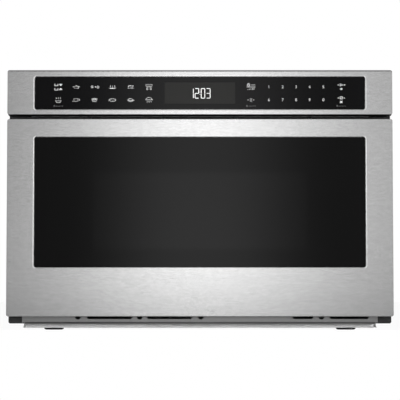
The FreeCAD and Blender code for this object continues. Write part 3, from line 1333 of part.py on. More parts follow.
def control_board():
    """Circuit board with its relays."""
    z = control_middle()
    half_x = CONTROL_BOARD_WIDTH / 2
    half_z = CONTROL_BOARD_HEIGHT / 2
    front = Y_POCKET + DISPLAY_DEPTH
    back = front + BOARD_THICK
    pieces = [block(both_sides(half_x), (front, back), (z - half_z, z + half_z))]
    for share in RELAY_SHARES:
        x = share * half_x
        pieces.append(block((x - RELAY / 2, x + RELAY / 2), (back, back + RELAY / 2),
                            (z - RELAY / 2, z + RELAY / 2)))
    return fused(pieces)


def control_carrier():
    """Black plastic tray that backs the steel fascia and carries the control board."""
    half = FRONT_WIDTH / 2
    tray = block(both_sides(half - PANEL_INSET), (Y_PANEL, Y_SEAT), grown(Z_FASCIA, -PANEL_INSET))
    wall = PANEL_INSET + CARRIER_WALL
    hollow = block(both_sides(half - wall), (Y_PANEL - 1.0, Y_SEAT - CARRIER_WALL),
                   grown(Z_FASCIA, -wall))
    pieces = [tray.cut(hollow)]
    z = control_middle()
    post = CARRIER_POST / 2
    far = CONTROL_BOARD_WIDTH / 2 - CARRIER_POST
    for x in (-far, -far / 3, far / 3, far):
        pieces.append(block((x - post, x + post), (Y_POCKET + DISPLAY_DEPTH + BOARD_THICK, Y_SEAT),
                            (z - post, z + post)))
        tab_x = (x - 3 * post, x + 3 * post)
        for low, high in ((Z_FASCIA[0] + SKIN_SHEET, Z_FASCIA[0] + wall),
                          (Z_FASCIA[1] - wall, Z_FASCIA[1] - SKIN_SHEET)):
            pieces.append(block(tab_x, (Y_PANEL - CARRIER_POST, Y_PANEL), (low, high)))
    return fused(pieces)


# Lamp, gland and screws

def lamp_height():
    """Height of the lamp's middle, above the tub's rim line less its set rise."""
    return Z_CEILING - LAMP_RISE


def lamp_holder():
    """Sheet box on the cavity's right wall that carries the lamp."""
    sheet = CAVITY_SHEET
    half = LAMP_CAN / 2
    z = lamp_height()
    x = (X_CAVITY_OUT, X_CAVITY_OUT + LAMP_DEPTH)
    outer = block(x, (LAMP_Y - half, LAMP_Y + half), (z - half, z + half))
    hollow = block((x[0] - 1.0, x[1] - sheet), (LAMP_Y - half + sheet, LAMP_Y + half - sheet),
                   (z - half + sheet, z + half - sheet))
    return outer.cut(hollow)


def oven_lamp():
    """Lamp module: a square base and a narrower lens towards the cavity."""
    z = lamp_height()
    end = X_CAVITY_OUT + LAMP_DEPTH - CAVITY_SHEET
    outline = [(end, z - LAMP_HALF), (end, z + LAMP_HALF), (end - LAMP_BASE, z + LAMP_HALF),
               (end - LAMP_BASE - LAMP_LENS, z + LAMP_HALF / 2),
               (end - LAMP_BASE - LAMP_LENS, z - LAMP_HALF / 2), (end - LAMP_BASE, z - LAMP_HALF)]
    return prism_y(outline, (LAMP_Y - LAMP_HALF, LAMP_Y + LAMP_HALF))


def cord_gland():
    """Plastic gland in the rear panel: hexagon cap outside, round neck, lock nut and a bore."""
    z = Z_FLOOR + GLAND_RISE
    outline = polygon(6, GLAND_HEX_RADIUS, X_GLAND, z)
    pieces = [prism_y(outline, (Y_REAR, Y_REAR + GLAND_REACH)),
              rod_y(GLAND_NECK_RADIUS, X_GLAND, (Y_REAR_IN, Y_REAR), z),
              prism_y(outline, (Y_REAR_IN - GLAND_NUT, Y_REAR_IN))]
    bore = rod_y(GLAND_BORE, X_GLAND, (Y_REAR_IN - GLAND_NUT - 1.0, Y_REAR + GLAND_REACH + 1.0), z)
    return fused(pieces).cut(bore)


def case_screws():
    """Hexagon-head screws that hold the rear panel to the casing sides."""
    screws = []
    for x, z in rear_screw_places():
        head = prism_y(polygon(6, SCREW_HEAD_RADIUS, x, z), (Y_REAR, Y_REAR + SCREW_HEAD_HEIGHT))
        shank = prism_y(polygon(6, SCREW_SHANK_RADIUS, x, z), (Y_REAR_IN - SCREW_REACH, Y_REAR))
        screws.append(fused([head, shank]))
    return Part.makeCompound(screws)


def build():
    """Every named piece of the product."""
    pieces = {
        "control_fascia": steel_pan(Z_FASCIA, Z_KEYPAD),
        "control_glass": front_glass(Z_KEYPAD),
        "control_carrier": control_carrier(),
        "control_board": control_board(),
        "display_module": display_module(),
        "drawer_front_skin": steel_pan(Z_DRAWER, Z_WINDOW),
        "drawer_glass": front_glass(Z_WINDOW),
        "window_screen": window_screen(),
        "door_core_frame": door_core_frame(),
        "inner_window": inner_window(),
        "door_back_plate": door_back_plate(),
        "choke_cover": choke_cover(),
        "drawer_tub": drawer_tub(),
        "tub_floor_plate": tub_floor_plate(),
        "drawer_rack": drawer_rack(),
        "drive_pinion": drive_pinion(),
        "drive_gearbox": drive_gearbox(),
        "drive_motor": drive_motor(),
        "rack_guide": rack_guide(),
        "base_pan": base_pan(),
        "rubber_feet": rubber_feet(),
        "top_cover": top_cover(),
        "rear_panel": rear_panel(),
        "rear_spacers": rear_spacers(),
        "front_bulkhead": front_bulkhead(),
        "vent_panel": vent_panel(),
        "cavity_liner": cavity_liner(),
        "waveguide": waveguide(),
        "stirrer_blade": stirrer_blade(),
        "stirrer_motor": stirrer_motor(),
        "stirrer_cover": stirrer_cover(),
        "magnetron_yoke": magnetron_yoke(),
        "magnetron_anode": magnetron_anode(),
        "fan_shroud": fan_shroud(),
        "fan_impeller": fan_impeller(),
        "fan_motor": fan_motor(),
        "air_duct": air_duct(),
        "transformer_core": transformer_core(),
        "transformer_windings": transformer_windings(),
        "hv_capacitor": hv_capacitor(),
        "capacitor_bracket": capacitor_bracket(),
        "filter_board": filter_board(),
        "lamp_holder": lamp_holder(),
        "oven_lamp": oven_lamp(),
        "cord_gland": cord_gland(),
        "case_screws": case_screws(),
    }
    pairs = {
        "side_panel": side_panel(),
        "mount_flange": mount_flange(),
        "switch_plunger": switch_plunger(),
    }
    for name, right in pairs.items():
        pieces["right_" + name] = right
        pieces["left_" + name] = mirrored(right)
    sets = {
        "outer_rails": outer_rail(),
        "outer_roller_cages": outer_roller_cage(),
        "middle_rails": middle_rail(),
        "inner_roller_cages": inner_roller_cage(),
        "inner_rails": inner_rail(),
        "latch_housings": latch_housing(),
        "latch_hooks": latch_hook(),
    }
    for name, right in sets.items():
        pieces[name] = Part.makeCompound([right, mirrored(right)])
    return pieces


os.makedirs("parts", exist_ok=True)
for node, shape in build().items():
    if not shape.isValid():
        raise ValueError(node + " is not a valid shape")
    shape.exportStep("parts/" + node + ".step")
    print(node, len(shape.Solids), round(shape.Volume / 1000.0, 2), "cm3")
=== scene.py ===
# %% [markdown]
# # A built-in drawer microwave
#
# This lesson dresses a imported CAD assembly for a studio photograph. The solids come from the frame
# and stay where they are. Blender adds what solids lack: soft metal edges, brushed and galvanised
# finishes, black glass with its printed keys, and the light that a studio throws on them.

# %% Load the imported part
import json
import math

import bmesh
import bpy
from mathutils import Matrix, Vector


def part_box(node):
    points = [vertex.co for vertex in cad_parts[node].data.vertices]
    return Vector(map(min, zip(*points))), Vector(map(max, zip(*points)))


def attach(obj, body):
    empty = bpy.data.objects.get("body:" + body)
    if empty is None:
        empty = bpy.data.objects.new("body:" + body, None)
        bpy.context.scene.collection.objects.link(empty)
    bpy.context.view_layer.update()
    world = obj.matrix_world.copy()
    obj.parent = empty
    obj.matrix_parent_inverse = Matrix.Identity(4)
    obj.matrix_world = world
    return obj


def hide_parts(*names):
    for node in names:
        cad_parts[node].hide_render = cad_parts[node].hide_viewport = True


MM = 0.001

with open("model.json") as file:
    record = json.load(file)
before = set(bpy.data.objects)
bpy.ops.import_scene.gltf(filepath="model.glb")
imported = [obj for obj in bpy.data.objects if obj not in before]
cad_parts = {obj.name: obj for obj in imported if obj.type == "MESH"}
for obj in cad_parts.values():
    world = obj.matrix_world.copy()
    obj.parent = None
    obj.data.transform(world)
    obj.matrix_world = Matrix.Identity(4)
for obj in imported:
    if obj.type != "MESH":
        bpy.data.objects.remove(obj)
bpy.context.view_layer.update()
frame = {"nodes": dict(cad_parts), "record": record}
nodes = frame["nodes"]

# %% [markdown]
# ## Sizes read from the frame
#
# The keypad marks and the bars in the gap line up with the steel fascia and its glass. Their places
# could be typed again here, but they would be wrong as soon as the CAD changed. So the boxes of the
# two nodes are read from the frame, and everything on the front follows from them.

# %% Read the front's sizes
fascia_low, fascia_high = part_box("control_fascia")
keypad_low, keypad_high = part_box("control_glass")
keypad_middle = (keypad_low + keypad_high) / 2
print("keypad middle in mm:", [round(value / MM, 1) for value in keypad_middle])

# %% [markdown]
# ## Shader maths in plain Python
#
# A procedural finish is arithmetic on sockets. Wiring each Math node by hand is long and hard to
# read, so one small class wraps a socket, and `1 - mask` adds its Math node by itself. `Nodes.add`
# makes every other node from its type, its settings and the values or links of its sockets. A
# `Finish` is the node tree of one material, with short names for the nodes that most finishes need.


# %% Define the socket class
class Channel:
    """A number socket that Python's operators can work on."""

    def __init__(self, owner, socket):
        self.owner = owner
        self.socket = socket

    def calculate(self, operation, first, second):
        return self.owner.add("ShaderNodeMath", {"operation": operation}, {0: first, 1: second})

    def __add__(self, other):
        return self.calculate("ADD", self, other)

    def __radd__(self, other):
        return self.calculate("ADD", other, self)

    def __sub__(self, other):
        return self.calculate("SUBTRACT", self, other)

    def __rsub__(self, other):
        return self.calculate("SUBTRACT", other, self)

    def __mul__(self, other):
        return self.calculate("MULTIPLY", self, other)

    def __rmul__(self, other):
        return self.calculate("MULTIPLY", other, self)

    def __abs__(self):
        return self.calculate("ABSOLUTE", self, 0.0)


print("socket class ready")


# %% Define the node class
def grey(shade):
    """A neutral colour."""
    return (shade, shade, shade, 1.0)


class Nodes:
    """The node tree of a material or a world, and its main shader."""

    def __init__(self, owner, shader):
        owner.use_nodes = True
        self.tree = owner.node_tree
        self.shader = self.tree.nodes[shader]

    def feed(self, socket, value):
        if isinstance(value, Channel):
            self.tree.links.new(value.socket, socket)
        else:
            socket.default_value = value

    def add(self, kind, settings, inputs, output=0):
        node = self.tree.nodes.new(kind)
        for name, value in settings.items():
            if name == "stops":
                for stop, (place, shade) in zip(node.color_ramp.elements, value):
                    stop.position = place
                    stop.color = grey(shade)
            else:
                setattr(node, name, value)
        for name, value in inputs.items():
            self.feed(node.inputs[name], value)
        return Channel(self, node.outputs[output])

    def set(self, inputs):
        for name, value in inputs.items():
            self.feed(self.shader.inputs[name], value)


print("node class ready")


# %% Define the finish class
class Finish(Nodes):
    """One procedural material and the nodes that make it."""

    def __init__(self, name):
        self.material = bpy.data.materials.new(name)
        super().__init__(self.material, "Principled BSDF")

    def set(self, inputs):
        super().set(inputs)
        return self.material

    def show(self, surface):
        self.feed(self.tree.nodes["Material Output"].inputs["Surface"], surface)
        return self.material

    def place(self):
        return self.add("ShaderNodeTexCoord", {}, {}, "Object")

    def axes(self):
        x = self.add("ShaderNodeSeparateXYZ", {}, {0: self.place()})
        return [Channel(self, output) for output in x.socket.node.outputs]

    def stretched(self, scale):
        return self.add("ShaderNodeMapping", {}, {"Vector": self.place(), "Scale": scale})

    def noise(self, scale, detail=2.0, stretch=(1.0, 1.0, 1.0)):
        return self.add("ShaderNodeTexNoise", {},
                        {"Vector": self.stretched(stretch), "Scale": scale, "Detail": detail})

    def ramp(self, value, dark, light):
        return self.add("ShaderNodeValToRGB", {"stops": ((dark, 0.0), (light, 1.0))}, {"Fac": value})

    def between(self, value, start, end, kind="LINEAR"):
        """0 at the start, 1 at the end, and level outside them."""
        return self.add("ShaderNodeMapRange", {"interpolation_type": kind},
                        {"Value": value, "From Min": start, "From Max": end})

    def blend(self, first, second, factor):
        return self.add("ShaderNodeMix", {"data_type": "RGBA"}, {0: factor, 6: first, 7: second}, 2)

    def bump(self, height, strength, distance):
        return self.add("ShaderNodeBump", {},
                        {"Height": height, "Strength": strength, "Distance": distance})


print("finish class ready")

# %% [markdown]
# ## Brushed stainless steel
#
# The front is stainless sheet, brushed along its width. A picture of scratches would repeat, and
# would blur close up. Noise is worked out at every point, so it does neither, and stretching it
# along X draws its spots out into streaks. A fine noise gives the scratches, a shorter one the
# flecks between them, and a broad one slow bands. The scratches also move the roughness and a
# slight bump.

# %% Make the brushed steel
SCRATCH_STRETCH = (9.0, 1500.0, 1500.0)
FLECK_STRETCH = (150.0, 620.0, 620.0)
BAND_STRETCH = (8.0, 130.0, 130.0)


def brushed_steel():
    finish = Finish("brushed_front_steel")
    scratch = finish.noise(1.0, 3.0, SCRATCH_STRETCH)
    fleck = finish.noise(1.0, 2.0, FLECK_STRETCH)
    band = finish.noise(1.0, 2.0, BAND_STRETCH)
    streak = scratch * 0.15 + fleck * 0.75 + band * 0.10
    return finish.set({
        "Base Color": finish.blend(grey(0.575), grey(0.795), streak),
        "Metallic": 1.0,
        "Roughness": 0.19 + scratch * 0.03,
        "Normal": finish.bump(scratch, 0.06, 0.0004),
    })


steel = brushed_steel()
print("made", steel.name)

# %% [markdown]
# ## Black glass
#
# Both panes are glass with black print on the back. Glass, print and the dark behind them could be
# separate layers, but one dark surface with a weak, sharp reflection looks the same and is quick to
# render. The keypad has a paler display field. The window has a viewing field, where a fine dotted
# screen shows through the print. Each field is a soft-edged box in object coordinates.

# %% Make the keypad glass
GLASS_SHINE = 0.125
PRINT_BLACK = (0.0030, 0.0030, 0.0032, 1.0)
DISPLAY_GREY = (0.0128, 0.0128, 0.0120, 1.0)
DISPLAY_HALF_X = 55.4 * MM
DISPLAY_HALF_Z = 16.7 * MM
DISPLAY_EDGE = 0.6 * MM


def field(finish, half_x, low_z, high_z, edge):
    """1 inside a box about the middle of the front, 0 outside, with a soft edge."""
    x, _, z = finish.axes()
    half_z = (high_z - low_z) / 2
    across = finish.between(abs(x), half_x + edge, half_x - edge)
    up = finish.between(abs(z - (low_z + high_z) / 2), half_z + edge, half_z - edge)
    return across * up


def keypad_glass():
    finish = Finish("keypad_black_glass")
    display = field(finish, DISPLAY_HALF_X, keypad_middle.z - DISPLAY_HALF_Z,
                    keypad_middle.z + DISPLAY_HALF_Z, DISPLAY_EDGE)
    smear = finish.noise(9.0, 3.0)
    return finish.set({
        "Base Color": finish.blend(PRINT_BLACK, DISPLAY_GREY, display),
        "Roughness": 0.05 + smear * 0.03,
        "Specular IOR Level": GLASS_SHINE,
    })


keypad_black = keypad_glass()
print("made", keypad_black.name)

# %% Make the window glass
VIEW_HALF_X = 167.0 * MM
VIEW_LAP = 12.0 * MM
VIEW_EDGE = 3.0 * MM


def window_glass():
    finish = Finish("window_black_glass")
    pane_low, pane_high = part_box("inner_window")
    view = field(finish, VIEW_HALF_X, pane_low.z + VIEW_LAP, pane_high.z - VIEW_LAP, VIEW_EDGE)
    dots = finish.add("ShaderNodeTexVoronoi", {"feature": "F1"}, {
        "Vector": finish.stretched((1.0, 0.0, 1.0)), "Scale": 520.0, "Randomness": 0.0})
    screen = finish.ramp(dots, 0.30, 0.42)
    smear = finish.noise(6.0, 3.0)
    inner = finish.blend(grey(0.0031), grey(0.0038), screen)
    return finish.set({
        "Base Color": finish.blend(grey(0.0030), inner, view),
        "Roughness": 0.05 + smear * 0.03,
        "Specular IOR Level": GLASS_SHINE,
        "Coat Weight": view * 0.038,
    })


window_black = window_glass()
print("made", window_black.name)

# %% [markdown]
# ## Sheet metal, paint and plastics
#
# The casing is galvanised sheet, whose zinc sets in crystals like frost. A Voronoi pattern has such
# cells, and a little noise bends their straight borders. Painted sheet has an orange-peel bump, and
# moulded plastic a fine grain. One function makes each kind, because only the colours and scales
# differ between the pieces.


# %% Make the galvanised sheet
def galvanised_sheet():
    finish = Finish("galvanised_sheet")
    wobble = finish.add("ShaderNodeTexNoise", {}, {"Vector": finish.place(), "Scale": 70.0}, "Color")
    crystals = finish.add("ShaderNodeVectorMath", {"operation": "MULTIPLY_ADD"}, {
        0: wobble, 1: (0.0045, 0.0045, 0.0045), 2: finish.place()})
    spangle = finish.add("ShaderNodeTexVoronoi", {"feature": "F1"}, {
        "Vector": crystals, "Scale": 85.0, "Randomness": 1.0}, "Color")
    tone = finish.add("ShaderNodeRGBToBW", {}, {"Color": spangle})
    frost = finish.noise(520.0, 3.0)
    cloud = finish.noise(7.0, 3.0)
    shade = tone * 0.45 + frost * 0.30 + cloud * 0.25
    return finish.set({
        "Base Color": finish.blend(grey(0.54), grey(0.74), shade),
        "Metallic": 0.88,
        "Roughness": 0.26 + tone * 0.20,
        "Normal": finish.bump(frost, 0.06, 0.0003),
    })


galvanised = galvanised_sheet()
print("made", galvanised.name)


# %% Define paint, plastic and plating
def painted(name, low, high, roughness):
    finish = Finish(name)
    peel = finish.noise(900.0, 2.0)
    cloud = finish.noise(20.0, 3.0)
    return finish.set({
        "Base Color": finish.blend(low, high, cloud),
        "Roughness": roughness + peel * 0.12,
        "Normal": finish.bump(peel, 0.12, 0.0002),
    })


def moulded(name, low, high, roughness, shine=0.5):
    finish = Finish(name)
    grain = finish.noise(1400.0, 2.0)
    cloud = finish.noise(11.0, 3.0)
    return finish.set({
        "Base Color": finish.blend(low, high, cloud),
        "Roughness": roughness + grain * 0.10,
        "Specular IOR Level": shine,
        "Normal": finish.bump(grain, 0.10, 0.0001),
    })


def plated(name, low, high, roughness, stretch):
    finish = Finish(name)
    drawn = finish.noise(1.0, 3.0, stretch)
    return finish.set({
        "Base Color": finish.blend(low, high, drawn),
        "Metallic": 1.0,
        "Roughness": roughness + drawn * 0.12,
        "Normal": finish.bump(drawn, 0.05, 0.0003),
    })


rubber = moulded("black_rubber", grey(0.005), grey(0.010), 0.7, 0.05)
print("made", rubber.name)

# %% [markdown]
# ## Finishes inside the casing
#
# A transformer core is a stack of varnished sheets, and its coils are rows of wire. Modelling each
# sheet and turn would cost many faces for something seen through a gap, so a Wave texture draws the
# rows and bumps them. A circuit board's tracks follow the borders of Voronoi cells, and the tub's
# floor plate is pale ceramic with specks where a noise rises above a limit. The inner pane of the
# door is clear, so a low alpha lets the pieces behind it show.


# %% Make the transformer's finishes
def rows(finish, direction, scale, distortion):
    return finish.add("ShaderNodeTexWave", {"wave_type": "BANDS", "bands_direction": direction}, {
        "Vector": finish.place(), "Scale": scale, "Distortion": distortion})


def laminated_steel():
    finish = Finish("varnished_laminations")
    sheets = rows(finish, "Y", 320.0, 0.2)
    return finish.set({
        "Base Color": finish.blend(grey(0.05), grey(0.16), sheets),
        "Metallic": 0.7,
        "Roughness": 0.42 + sheets * 0.1,
        "Normal": finish.bump(sheets, 0.25, 0.0003),
    })


def copper_wire():
    finish = Finish("enamelled_copper_wire")
    turns = rows(finish, "Z", 210.0, 0.4)
    return finish.set({
        "Base Color": finish.blend((0.22, 0.06, 0.02, 1.0), (0.56, 0.23, 0.09, 1.0), turns),
        "Metallic": 0.85,
        "Roughness": 0.28 + turns * 0.1,
        "Normal": finish.bump(turns, 0.5, 0.0005),
    })


inside = {"core_steel": laminated_steel(), "copper": copper_wire()}
print("made", [material.name for material in inside.values()])


# %% Make the board, the pane and the ceramic
def circuit_board():
    finish = Finish("green_circuit_board")
    tracks = finish.add("ShaderNodeTexVoronoi", {"feature": "DISTANCE_TO_EDGE"}, {
        "Vector": finish.place(), "Scale": 160.0, "Randomness": 0.35})
    mask = finish.ramp(tracks, 0.04, 0.10)
    return finish.set({
        "Base Color": finish.blend((0.05, 0.16, 0.06, 1.0), (0.012, 0.075, 0.028, 1.0), mask),
        "Roughness": 0.34 + mask * 0.12,
    })


def clear_pane():
    finish = Finish("clear_inner_pane")
    smear = finish.noise(12.0, 3.0)
    return finish.set({
        "Base Color": (0.82, 0.88, 0.87, 1.0),
        "Roughness": 0.03 + smear * 0.04,
        "Alpha": 0.22 + smear * 0.06,
    })


def speckled_ceramic():
    finish = Finish("speckled_glass_ceramic")
    speck = finish.ramp(finish.noise(420.0, 3.0), 0.62, 0.70)
    return finish.set({
        "Base Color": finish.blend((0.72, 0.71, 0.68, 1.0), grey(0.40), speck),
        "Roughness": 0.12 + speck * 0.1,
    })


inside.update(board=circuit_board(), clear_glass=clear_pane(), glass_ceramic=speckled_ceramic())
print("finishes of the inside:", len(inside))

# %% [markdown]
# ## Dressing the solids
#
# The record names a material slot for each node, such as zinc steel or rubber. Each node could get
# its finish by hand, but one dictionary from slot to finish dresses them all, and a node that is
# added later too. Here only the keypad differs from its slot.

# %% Dress the nodes
finishes = {
    **inside,
    "steel_front": steel,
    "black_glass": window_black,
    "galvanised": galvanised,
    "rubber": rubber,
    "black_plastic": moulded("black_moulded_plastic", grey(0.012), grey(0.022), 0.42),
    "grey_plastic": moulded("grey_tub_composite", (0.40, 0.41, 0.42, 1), (0.46, 0.47, 0.48, 1), 0.34),
    "white_plastic": moulded("natural_plastic", (0.66, 0.65, 0.61, 1), (0.74, 0.73, 0.69, 1), 0.36),
    "black_paint": painted("black_powder_coat", grey(0.010), grey(0.018), 0.42),
    "grey_paint": painted("grey_sheet_paint", grey(0.24), grey(0.29), 0.40),
    "cavity_paint": painted("pale_cavity_enamel", (0.44, 0.44, 0.42, 1), (0.50, 0.50, 0.48, 1), 0.22),
    "zinc_steel": plated("zinc_plated_steel", (0.50, 0.50, 0.47, 1), (0.68, 0.68, 0.64, 1), 0.24,
                         (300.0, 12.0, 300.0)),
    "aluminium": plated("bare_aluminium", grey(0.62), grey(0.78), 0.28, (60.0, 60.0, 400.0)),
}
slot_of = {part["node"]: part["material_slot"] for part in frame["record"]["subparts"]}
for name, node in nodes.items():
    node.material_slots[0].link = "OBJECT"
    node.material_slots[0].material = finishes[slot_of[name]]
nodes["control_glass"].material_slots[0].material = keypad_black
print("dressed", len(nodes), "nodes with", len(finishes), "finishes")

# %% [markdown]
# ## Putting a finished mesh into the scene
#
# Every new piece ends in the same way. Its bmesh becomes an object at the origin, gets smooth faces
# with its sharp corners kept, rides on a CAD body and takes its finish. Two functions do this for all
# pieces, so that none of these steps is forgotten.

# %% Define how a piece is handed over
SHARP_ANGLE = 35.0


def hand_over(bm, name, body, material, sharp=SHARP_ANGLE):
    mesh = bpy.data.meshes.new(name)
    bm.to_mesh(mesh)
    bm.free()
    return settle(mesh, name, body, material, sharp)


def settle(mesh, name, body, material, sharp=SHARP_ANGLE):
    for polygon in mesh.polygons:
        polygon.use_smooth = True
    mesh.set_sharp_from_angle(angle=math.radians(sharp))
    mesh.materials.clear()
    mesh.materials.append(material)
    piece = bpy.data.objects.new(name, mesh)
    bpy.context.scene.collection.objects.link(piece)
    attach(piece, body)
    return piece


print("edges sharper than", SHARP_ANGLE, "degrees stay sharp")

# %% [markdown]
# ## The folded steel fronts
#
# Each front is one sheet, folded back all round, with a pocket for its glass. A boolean could cut
# the pocket from a box, but it leaves long thin faces that shade badly. So the sheet grows from
# outlines: three rounded loops are bridged into the face and a narrow rim, both borders are drawn
# back, the front edges are bevelled, and solidify gives the thickness. The rim dips a little towards
# the glass and catches a bright line. The fascia's top leans back, so that it shows the ceiling.

# %% Define the outlines and their folds
CORNER_STEPS = 8
EDGE_STEPS = 6


def round_off(bm, geom, radius, steps=EDGE_STEPS, affect="EDGES"):
    """Bevels edges or corners into arcs and gives the new faces."""
    return bmesh.ops.bevel(bm, geom=geom, offset=radius, segments=steps, profile=0.5, affect=affect,
                           material=-1)["faces"]


def rounded_loop(bm, half_x, low_z, high_z, y, radius):
    """Edges of an upright rectangle with rounded corners."""
    before = set(bm.faces)
    corners = bmesh.ops.create_grid(bm, x_segments=1, y_segments=1, size=1.0)["verts"]
    bmesh.ops.scale(bm, vec=(half_x, (high_z - low_z) / 2, 1.0), verts=corners)
    bmesh.ops.rotate(bm, matrix=Matrix.Rotation(math.radians(90.0), 3, "X"), verts=corners)
    bmesh.ops.translate(bm, vec=(0.0, y, (low_z + high_z) / 2), verts=corners)
    round_off(bm, corners, radius, CORNER_STEPS, "VERTICES")
    face = [face for face in bm.faces if face not in before][0]
    edges = list(face.edges)
    bmesh.ops.delete(bm, geom=[face], context="FACES_ONLY")
    return edges


def drawn_back(bm, edges, depth):
    """Extrudes a border back along Y and gives the new border and its corners."""
    made = bmesh.ops.extrude_edge_only(bm, edges=edges)["geom"]
    verts = [item for item in made if isinstance(item, bmesh.types.BMVert)]
    bmesh.ops.translate(bm, vec=(0.0, depth, 0.0), verts=verts)
    moved = set(verts)
    border = [item for item in made if isinstance(item, bmesh.types.BMEdge)]
    return [edge for edge in border if edge.verts[0] in moved and edge.verts[1] in moved], verts


print("corners have", CORNER_STEPS, "steps and edges", EDGE_STEPS)

# %% Define the leaned top and the held edges
TOP_LEAN = 2.5 * MM
LEAN_BACK = 0.6
HOLD = 0.3 * MM
TOUCH = 0.01 * MM
FACING = 0.9999


def lean_top(bm, top, front):
    cut = top - TOP_LEAN
    for height in (cut - HOLD, cut, cut + HOLD):
        bmesh.ops.bisect_plane(bm, geom=bm.verts[:] + bm.edges[:] + bm.faces[:], dist=TOUCH,
                               plane_co=(0.0, 0.0, height), plane_no=(0.0, 0.0, 1.0))
    strip = [vert for vert in bm.verts if vert.co.z > cut + TOUCH and vert.co.y < front + TOP_LEAN]
    shear = Matrix.Identity(4)
    shear[1][2] = LEAN_BACK
    middle = Matrix.Translation((0.0, 0.0, cut))
    bmesh.ops.transform(bm, matrix=middle @ shear @ middle.inverted(), verts=strip)


def hold_edges(bm, strips):
    """Insets the flat faces, so that shading bends only at the bevelled strips."""
    bm.normal_update()
    flats = [face for face in bm.faces if face not in strips]
    front = [face for face in flats if abs(face.normal.y) > FACING]
    rest = [face for face in flats if abs(face.normal.y) <= FACING]
    for part in (front, rest):
        bmesh.ops.inset_region(bm, faces=part, thickness=HOLD, use_boundary=True, use_even_offset=True)


def face_outwards(bm):
    """Turns an open sheet so that its large front face looks at the viewer."""
    bmesh.ops.recalc_face_normals(bm, faces=bm.faces)
    facing = max(bm.faces, key=lambda face: abs(face.normal.y) * face.calc_area())
    if facing.normal.y > 0.0:
        bmesh.ops.reverse_faces(bm, faces=bm.faces)


print("the leaned strip goes", round(TOP_LEAN * LEAN_BACK / MM, 2), "mm back")

# %% Model the steel fronts
FRONT_CORNER = 3.0 * MM
FRONT_EDGE = 0.45 * MM
TOP_TRIM = 0.5 * MM
POCKET_CORNER = 4.0 * MM
POCKET_EDGE = 0.3 * MM
POCKET_GAP = 0.5 * MM
SHEET = 1.2 * MM
LEDGE = 8.0 * MM
RIM = 1.5 * MM
RIM_CORNER = POCKET_CORNER + RIM
RIM_DROP = 0.07 * MM


def steel_front(name, node, glass, body, trim=0.0, leaned=False):
    low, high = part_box(node)
    top = high.z - trim
    glass_low, glass_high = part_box(glass)
    pocket_x = glass_high.x + POCKET_GAP
    pocket_low = glass_low.z - POCKET_GAP
    pocket_high = glass_high.z + POCKET_GAP
    bm = bmesh.new()
    outer = rounded_loop(bm, high.x, low.z, top, low.y, FRONT_CORNER)
    rim = rounded_loop(bm, pocket_x + RIM, pocket_low - RIM, pocket_high + RIM, low.y, RIM_CORNER)
    pocket = rounded_loop(bm, pocket_x, pocket_low, pocket_high, low.y + RIM_DROP, POCKET_CORNER)
    bmesh.ops.bridge_loops(bm, edges=outer + rim)
    bmesh.ops.bridge_loops(bm, edges=rim + pocket)
    drawn_back(bm, outer, high.y - low.y)
    seat, _ = drawn_back(bm, pocket, glass_high.y - low.y)
    _, ledge = drawn_back(bm, seat, 0.0)
    shrink = (1.0 - (LEDGE + POCKET_GAP) / glass_high.x, 1.0,
              1.0 - 2.0 * (LEDGE + POCKET_GAP) / (glass_high.z - glass_low.z))
    bmesh.ops.scale(bm, vec=shrink, verts=ledge, space=Matrix.Translation((glass_low + glass_high) / -2))
    hold_edges(bm, set(round_off(bm, outer, FRONT_EDGE)) | set(round_off(bm, pocket, POCKET_EDGE)))
    if leaned:
        lean_top(bm, top, low.y)
    face_outwards(bm)
    bmesh.ops.solidify(bm, geom=bm.faces[:], thickness=SHEET)
    piece = hand_over(bm, name, body, steel, sharp=50.0)
    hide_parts(node)
    return piece


fascia = steel_front("fascia_sheet", "control_fascia", "control_glass", "chassis", leaned=True)
drawer_front = steel_front("drawer_sheet", "drawer_front_skin", "drawer_glass", "drawer", trim=TOP_TRIM)
print("steel fronts:", len(fascia.data.polygons), "and", len(drawer_front.data.polygons), "faces")

# %% [markdown]
# ## Marks on the keypad glass
#
# The keys are touch areas, so on the glass they are only print. An image texture could hold them,
# but real strokes stay sharp at any distance. A pen draws each stroke as a curve, in millimetres
# from its key's middle, and the curves become thin flat ribbons. Small pictures show what each key
# does, with a bolder pen for the drawer, start and stop keys.


# %% Define how print stands on the glass
def set_on_glass(curve, name, ink, x=0.0, z=0.0, thickness=1.0):
    """Makes a curve a mesh and stands it on the glass, x and z mm from the keypad's middle."""
    holder = bpy.data.objects.new(name, curve)
    bpy.context.scene.collection.objects.link(holder)
    bpy.context.view_layer.update()
    mesh = bpy.data.meshes.new_from_object(holder.evaluated_get(
        bpy.context.evaluated_depsgraph_get()))
    bpy.data.objects.remove(holder)
    flat = Matrix.Diagonal((1.0, 1.0, thickness, 1.0))
    upright = Matrix.Rotation(math.radians(90.0), 4, "X")
    place = Matrix.Translation((x * MM, keypad_low.y, keypad_middle.z + z * MM))
    mesh.transform(place @ upright @ flat)
    return settle(mesh, name, "chassis", ink)


print("print stands at", round(keypad_low.y / MM, 2), "mm in Y")

# %% Define the pen
KEY_SCALE = 0.8
PLAIN_STROKE = 0.6
BOLD_STROKE = 0.85
FAINT_STROKE = 0.5
RIBBON_FLATNESS = 0.12


